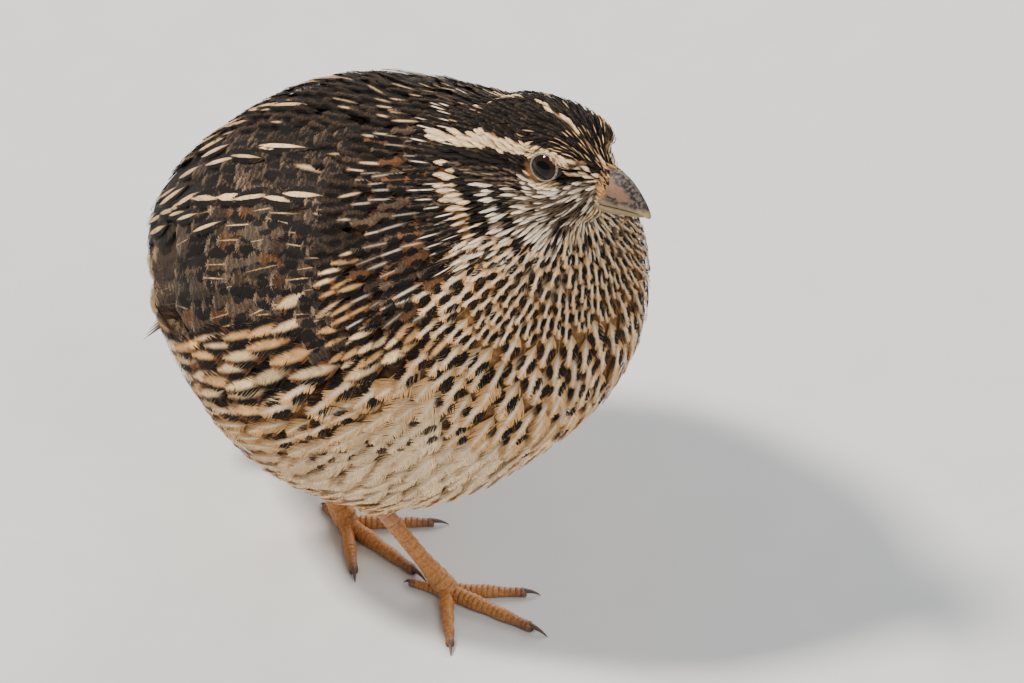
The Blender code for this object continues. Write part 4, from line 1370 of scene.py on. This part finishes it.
def eye_material():
    m = Nodes("eye")
    radius, _, _ = m.split(m.attribute("radius").outputs["Vector"])
    brown = m.mix(m.noise(2600.0, 4.0), (0.010, 0.004, 0.002), (0.032, 0.012, 0.005))
    iris = m.mix(m.step(radius, 0.38, 0.44), (0.0012, 0.001, 0.001), brown)
    colour = m.mix(m.step(radius, 0.60, 0.70), iris, (0.004, 0.003, 0.0025))
    return m.finish(colour, 0.07, 0.22)


def lid_material():
    m = Nodes("eye_ring")
    shade = m.step(m.noise(2600.0, 3.0), 0.3, 0.7)
    m.bump(m.noise(3500.0, 3.0), 0.4, 0.0002)
    return m.finish(m.mix(shade, (0.10, 0.088, 0.066), (0.24, 0.215, 0.165)), 0.6, 0.3)


def make_eyes():
    material, ring_material = eye_material(), lid_material()
    rise = math.sqrt(EYE_RADIUS**2 - EYE_OPENING**2)
    for side, name in ((1, "eye_left"), (-1, "eye_right")):
        centre = eye_centre(side)
        n = eye_axis(side)
        u = unit(np.cross(n, [0, 0, 1.0]))
        v = np.cross(u, n)
        around = circle(48, u, v)
        rings, radii = [], []
        for t in np.linspace(0.02, math.pi - 0.02, 40):
            bulge = 1 + 0.05 * math.exp(-((t / 0.5) ** 2))
            rings.append(centre + EYE_RADIUS * bulge * (math.cos(t) * n + math.sin(t) * around))
            radii.append(np.full(48, math.sin(t) if t < math.pi / 2 else 1.0))
        radii = np.concatenate([*radii, [0.0], [1.0]])
        attributes = {"radius": np.stack([radii] * 3, -1)}
        eyeball = outward(mesh_from(name + "_ball", *lofted(rings), attributes))
        settle(eyeball, material, "eye_dark", name)
        tube = full_turn(14)
        rings = []
        for t in full_turn(64):
            way = math.cos(t) * u + math.sin(t) * v
            wave = 1 + 0.08 * math.sin(9 * t)
            ring = np.multiply.outer(EYE_OPENING + 0.22 + 0.27 * np.cos(tube) * wave, way)
            rings.append(centre + ring + np.multiply.outer(rise + 0.02 + 0.24 * np.sin(tube), n))
        points = np.concatenate(rings)
        triangles = grid_triangles(65, 14) % len(points)
        settle(outward(mesh_from(name + "_lid", points, triangles)), ring_material, "eye_dark")


# Both halves of the bill from the base on: forward, top, bottom, half width.
UPPER_BILL = (
    (59.5, 60.2, 53.0, 3.7),
    (61.9, 60.4, 53.15, 3.55),
    (63.4, 60.7, 53.4, 3.35),
    (65.0, 60.6, 53.6, 3.05),
    (66.8, 60.0, 53.75, 2.6),
    (68.6, 58.9, 53.8, 2.1),
    (70.3, 57.4, 53.75, 1.65),
    (71.8, 55.8, 53.5, 1.15),
    (73.0, 54.2, 52.9, 0.6),
    (73.25, 53.6, 52.85, 0.35),
)
LOWER_BILL = (
    (58.5, 52.6, 49.4, 3.4),
    (61.9, 52.75, 49.6, 3.3),
    (64.0, 53.0, 50.1, 2.9),
    (66.4, 53.2, 50.8, 2.3),
    (68.8, 53.25, 51.4, 1.65),
    (70.8, 53.2, 52.0, 1.0),
    (71.7, 53.0, 52.4, 0.5),
)


def bill_rings(table, upper, count=36, steps=44):
    """Rings along one half of the bill, flat where it meets the other half."""
    length = np.linspace(0, 1, len(table))
    kernel = np.array([1, 2, 3, 2, 1]) / 9
    columns = []
    for column in np.array(table).T:
        column = np.interp(np.linspace(0, 1, steps), length, column)
        padded = np.concatenate([[column[0]] * 2, column, [column[-1]] * 2])
        columns.append(np.convolve(padded, kernel, "valid"))
    way = 1 if upper else -1
    a = full_turn(count)
    rise = way * np.cos(a)
    rings = []
    for x, top, bottom, half in zip(*columns):
        flat, arch = (bottom, top) if upper else (top, bottom)
        z = np.where(rise > 0, flat + (arch - flat) * np.abs(rise) ** 0.9, flat + way * 0.1 * rise)
        rings.append(np.stack([np.full(count, x), half * np.sin(a), z], -1))
    return rings


def bill_material():
    """Horn with a pinkish brown cover over the nostril, a dark speckled ridge and a pale cutting edge."""
    m = Nodes("bill_horn")
    x, _, z = m.split(m.position())
    grain = m.noise(1400.0, 5.0)
    stray = m.times(m.minus(m.noise(700.0, 3.0), 0.5), 0.0022)
    nostril = in_frame([63.6, 0, 57.0])
    forward = m.plus(m.minus(x, float(nostril[0])), stray)
    height = m.plus(m.minus(z, float(nostril[2])), stray)
    pinkish = m.mix(grain, (0.13, 0.072, 0.045), (0.27, 0.155, 0.098))
    dark = m.mix(m.step(grain, 0.42, 0.62), (0.020, 0.0155, 0.014), (0.120, 0.090, 0.070))
    along = m.math("DIVIDE", forward, 0.0052)
    up = m.math("DIVIDE", m.plus(m.minus(height, 0.0009), m.times(forward, 0.35)), 0.0017)
    colour = m.mix(m.step(m.math("SQRT", m.squares(along, up)), 0.8, 1.25), pinkish, dark)
    edge = m.times(m.step(height, -0.0032, -0.0020, 1.0, 0.0), 0.8)
    colour = m.mix(edge, colour, m.mix(grain, (0.33, 0.22, 0.10), (0.47, 0.36, 0.21)))
    # The nostril's slit near black: painted shade inside the opening.
    slot = m.squares(m.off(height, -0.00125, 0.00040), m.off(forward, 0.0006, 0.0020))
    colour = m.mix(m.step(slot, 0.5, 1.3, 0.85, 0.0), colour, (0.02, 0.013, 0.010))
    m.bump(m.noise(1900.0, 4.0), 0.4, 0.0002)
    return m.finish(colour, m.step(grain, 0.2, 0.8, 0.42, 0.6), 0.3)


def make_bill():
    material = bill_material()
    rings = []
    for ring in bill_rings(UPPER_BILL, True):
        x, y, z = ring.T
        flank = np.abs(y) > 0.8
        cover = np.exp(-(((x - 64.2) / 2.3) ** 2) - (((z - 57.3) / 1.35) ** 2)) * flank
        slot = np.exp(-(((x - 64.9) / 1.5) ** 2) - (((z - 55.75) / 0.33) ** 2)) * flank
        groove = np.exp(-(((z - 55.2) / 0.5) ** 2)) * smooth((70 - x) / 5) * flank
        y = y + np.sign(y) * (0.55 * cover - 0.75 * slot - 0.16 * groove)
        rings.append(np.stack([x, y, z], -1))
    for name, half in (("upper", rings), ("lower", bill_rings(LOWER_BILL, False))):
        horn = outward(mesh_from(f"bill_{name}_horn", *lofted(half)))
        settle(horn, material, "bill_horn", f"bill_{name}")


def leg_material():
    m = Nodes("leg_skin")
    tone = m.attribute("tone").outputs["Color"]
    grain = m.noise(1300.0, 4.0)
    cells = m.node("ShaderNodeTexVoronoi", feature="DISTANCE_TO_EDGE")
    cells.inputs["Scale"].default_value = 1500.0
    m.link(m.position(), cells.inputs["Vector"])
    # Darker along the creases between the scales: painted shade.
    crease_shade = m.step(cells.outputs["Distance"], 0.0, 0.08, 0.72, 1.0)
    shade = m.times(crease_shade, m.step(grain, 0.25, 0.75, 0.72, 1.18))
    m.bump(m.plus(cells.outputs["Distance"], grain), 0.45, 0.0002)
    return m.finish(m.shaded(tone, shade), 0.48, 0.4)


def claw_material():
    m = Nodes("claw_horn")
    grain = m.noise(1600.0, 4.0)
    return m.finish(m.mix(grain, (0.045, 0.028, 0.020), (0.17, 0.10, 0.065)), 0.4, 0.4)


# Toes: length with claw, half width, angle out from the bird's heading, joints.
TOES = ((10.5, 1.15, 165.0, 1), (21.0, 1.45, -42.0, 2), (27.5, 1.6, -7.0, 3), (23.0, 1.4, 45.0, 4))
TAN = np.array([0.50, 0.205, 0.055])
TAN_DARK = np.array([0.25, 0.105, 0.045])
PINKISH = np.array([0.50, 0.24, 0.14])
YELLOW = np.array([0.60, 0.33, 0.045])
CLAW_SHARE = 0.15
# The shank's half depth and half width, and its number of plates.
SHANK_DEEP = 1.95
SHANK_WIDE = 1.62
SHANK_PLATES = 12
PAD_RADII = (3.0, 2.7, 2.3)
# How far the webs reach from the ball of the foot, inner web first.
WEB_REACH = (7.4, 6.8)


def plates(t, count, height):
    """The lift of overlapping plates along a limb: each rises quickly and sinks towards the next."""
    place = (t * count) % 1.0
    return height * (smooth(place / 0.12) - 0.75 * smooth((place - 0.12) / 0.88))


def toned(mesh, tones):
    """A lofted mesh with the tones of its rings. Each pole takes its ring's first."""
    tones = np.concatenate([*tones, tones[0][:1], tones[-1][:1]])
    return (*mesh, {"tone": np.hstack([tones, np.ones((len(tones), 1))])})


def plain(points, triangles, tone):
    """A mesh all of one tone."""
    return points, triangles, {"tone": np.tile([*tone, 1.0], (len(points), 1))}


def shank_mesh(leg):
    ball_point, _, way = leg_points(leg)
    front, left = square_to(way)
    a = full_turn(36)
    facing = np.maximum(np.cos(a), 0) ** 0.5
    rings, tones = [], []
    for t in np.linspace(0, 1, 132):
        along = leg["length"] * (0.01 + 1.04 * t)
        waist = 1.0 + 0.42 * (1 - smooth(t / 0.34)) + 0.34 * smooth((t - 0.84) / 0.16)
        behind = plates(t * 1.9 + 0.3, SHANK_PLATES, 0.08) * (1 - facing)
        lift = 1 + plates(t, SHANK_PLATES, 0.2) * facing + behind
        ring = np.multiply.outer(SHANK_DEEP * waist * np.cos(a) * lift, front)
        ring = ring + np.multiply.outer(SHANK_WIDE * waist * np.sin(a) * lift, left)
        rings.append(ring + ball_point + way * along)
        high = smooth((t - 0.55) / 0.3)
        place = (t * SHANK_PLATES) % 1.0
        # Darker in the hollow before each plate's raised edge on the front: painted shade.
        groove = 0.45 * (1 - smooth(abs(place - 0.5 - 0.45) / 0.12)) * facing
        tones.append((TAN * (1 - high) + PINKISH * high) * (1.08 - groove)[:, None])
    return toned(lofted(rings), tones)


def toe_heading(leg, angle):
    """A toe's heading on the floor, and the way to its left."""
    out = math.radians(angle) * leg["side"]
    heading = np.array([math.cos(out), math.sin(out), 0.0])
    return heading, np.array([-heading[1], heading[0], 0.0])


def toe_section(centre, left, wide, tall, rise):
    """A ring round a toe, flatter below."""
    a = full_turn(24)
    w = np.sign(np.cos(a)) * np.abs(np.cos(a)) ** 0.8
    h = np.where(np.sin(a) > 0, 0.36 + 0.64 * np.sin(a), 0.36 + 0.36 * np.sin(a))
    return centre + np.multiply.outer(w * wide, left) + np.stack([0 * h, 0 * h, rise + tall * h], -1)


def foot_on_floor(leg):
    return np.array([*leg["ball"], FLOOR])


def toe_meshes(leg, length, half, angle, joints):
    """One toe with its plates, and its claw."""
    heading, left = toe_heading(leg, angle)
    floor = foot_on_floor(leg)
    start = 0.6 if joints > 1 else 1.2
    bones = length * (1 - CLAW_SHARE) - start
    count = max(5, round(bones / 1.25))
    rings, tones = [], []
    for t in np.linspace(0, 1, count * 8):
        knuckle = 0.09 * math.cos(2 * math.pi * joints * t)
        wide = half * (1.22 - 0.52 * t) * (1 + knuckle)
        tall = half * (2.0 - 0.95 * t) * (1 + plates(t, count, 0.16) + knuckle * 0.5)
        if t > 0.96:
            wide, tall = wide * (1 - 5 * (t - 0.96)), tall * (1 - 4 * (t - 0.96))
        rings.append(toe_section(floor + heading * (start + bones * t), left, wide, tall, 0.02))
        share = smooth((t - 0.6) / 0.4)
        # Darker in the hollows between the plates: painted shade.
        groove = plates(t, count, 1.0) < 0.3
        tone = (TAN * (1 - share) + TAN_DARK * share) * (0.62 if groove else 1.05)
        tones.append(np.repeat([tone], 24, axis=0))
    claw = []
    for t in np.linspace(0, 1, 14):
        size = (1 - t) ** 0.75 * 0.62 + 0.05
        along = start + bones * 0.97 + length * CLAW_SHARE * 1.15 * t
        rise = 0.45 * half * (1 - t) + 0.35 * math.sin(math.pi * t)
        wide, tall = half * 0.62 * size, half * 1.25 * size
        claw.append(toe_section(floor + heading * along, left, wide, tall, rise))
    return toned(lofted(rings), tones), (*lofted(claw), {})


def web_mesh(leg, first, last, reach):
    """A thin web of skin between two toes, with a hollow edge."""
    floor = foot_on_floor(leg)
    high = 1.25 - 0.55 * np.linspace(0, 1, 10)
    rows = []
    for u in np.linspace(0, 1, 14):
        heading, _ = toe_heading(leg, first + (last - first) * u)
        far = reach * (1 - 0.42 * math.sin(math.pi * u))
        line = floor + np.multiply.outer(np.linspace(0.5, far, 10), heading)
        top = line + np.stack([0 * high, 0 * high, high], -1)
        low = line + np.stack([0 * high, 0 * high, high - 0.5], -1)
        rows.append(np.concatenate([top, low[::-1]]))
    return plain(*lofted(rows), YELLOW)


def make_feet():
    material, horn = leg_material(), claw_material()
    for name, leg in LEGS.items():
        ball_point, _, _ = leg_points(leg)
        points, triangles = ball(np.zeros(3), 1.0, 36, 20)
        pad = points * PAD_RADII + ball_point
        pad[:, 2] = np.maximum(pad[:, 2], FLOOR + 0.02)
        parts = [shank_mesh(leg), plain(pad, triangles, TAN)]
        toes, claws = zip(*[toe_meshes(leg, *sizes) for sizes in TOES])
        parts += toes
        angles = [angle for _, _, angle, _ in TOES[1:]]
        for first, last, reach in zip(angles[:-1], angles[1:], WEB_REACH):
            parts.append(web_mesh(leg, first, last, reach))
        foot = outward(mesh_from(f"foot_{name}", *merged(parts)))
        settle(foot, material, "leg_skin", f"shank_{name}", *[f"toe_{name}_{k}" for k in (1, 2, 3, 4)])
        settle(outward(mesh_from(f"claws_{name}", *merged(claws))), horn, "bill_horn")


# Stage

def make_stage():
    m = Nodes("pale_floor")
    shade = m.noise(60.0, 3.0)
    m.finish(m.mix(shade, (0.60, 0.595, 0.585), (0.66, 0.655, 0.645)), 0.85, 0.2)
    bpy.ops.mesh.primitive_plane_add(size=8.0, location=(0, 0, 0))
    floor = bpy.context.object
    floor.name = "floor"
    floor.data.materials.append(m.material)

    world = bpy.data.worlds.new("studio")
    world.use_nodes = True
    background = world.node_tree.nodes["Background"]
    background.inputs["Color"].default_value = (0.80, 0.88, 1.0, 1.0)
    background.inputs["Strength"].default_value = 0.42
    bpy.context.scene.world = world

    right, _, toward = view_axes()
    # Each light's name, place, size in metres, power in watts and colour.
    for name, place, size, power, colour in (
        ("key", -right * 1.1 + np.array([0, 0, 1.75]) + toward * 0.35, 0.28, 78.0, (1.0, 0.95, 0.87)),
        ("fill", right * 0.9 + toward * 1.2 + np.array([0, 0, 0.5]), 1.2, 14.0, (0.90, 0.95, 1.0)),
        ("rim", right * 0.4 - toward * 1.2 + np.array([0, 0, 1.4]), 0.8, 12.0, (1.0, 0.97, 0.92)),
    ):
        light = bpy.data.lights.new(name, "AREA")
        light.size = size
        light.energy = power
        light.color = colour
        lamp = bpy.data.objects.new(name, light)
        bpy.context.scene.collection.objects.link(lamp)
        lamp.location = place
        lamp.rotation_euler = (Vector((0, 0, 0.07)) - Vector(place)).to_track_quat("-Z", "Y").to_euler()


def view_axes():
    a, e = math.radians(CAMERA_AZIMUTH), math.radians(CAMERA_ELEVATION)
    toward = np.array([math.sin(a) * math.cos(e), -math.cos(a) * math.cos(e), math.sin(e)])
    right = np.array([math.cos(a), math.sin(a), 0.0])
    return right, np.cross(toward, right), toward


def make_camera():
    right, up, toward = view_axes()
    aim = TO_FRAME + right * AIM_RIGHT + up * AIM_UP
    camera = bpy.data.cameras.new("camera")
    camera.sensor_width = 36.0
    camera.lens = 36.0 * CAMERA_DISTANCE / FRAME_WIDTH
    camera.clip_end = 30.0
    obj = bpy.data.objects.new("camera", camera)
    bpy.context.scene.collection.objects.link(obj)
    obj.location = aim + toward * CAMERA_DISTANCE
    obj.rotation_euler = (-Vector(toward)).to_track_quat("-Z", "Y").to_euler()
    bpy.context.scene.camera = obj


make_camera()
make_stage()
make_skin()
coat_rings = body_rings(lambda p: plumage(p) + coat_depth(p), 90, 2.0, 1.0)
make_body_coat(coat_rings)
make_head_coat(coat_rings)
wing_look = feather_material("wing_plumage", 0.05, 0.72)
make_wing(1, "wing_left", wing_look)
make_wing(-1, "wing_right", wing_look)
make_tail(wing_look)
make_eyes()
make_bill()
make_feet()
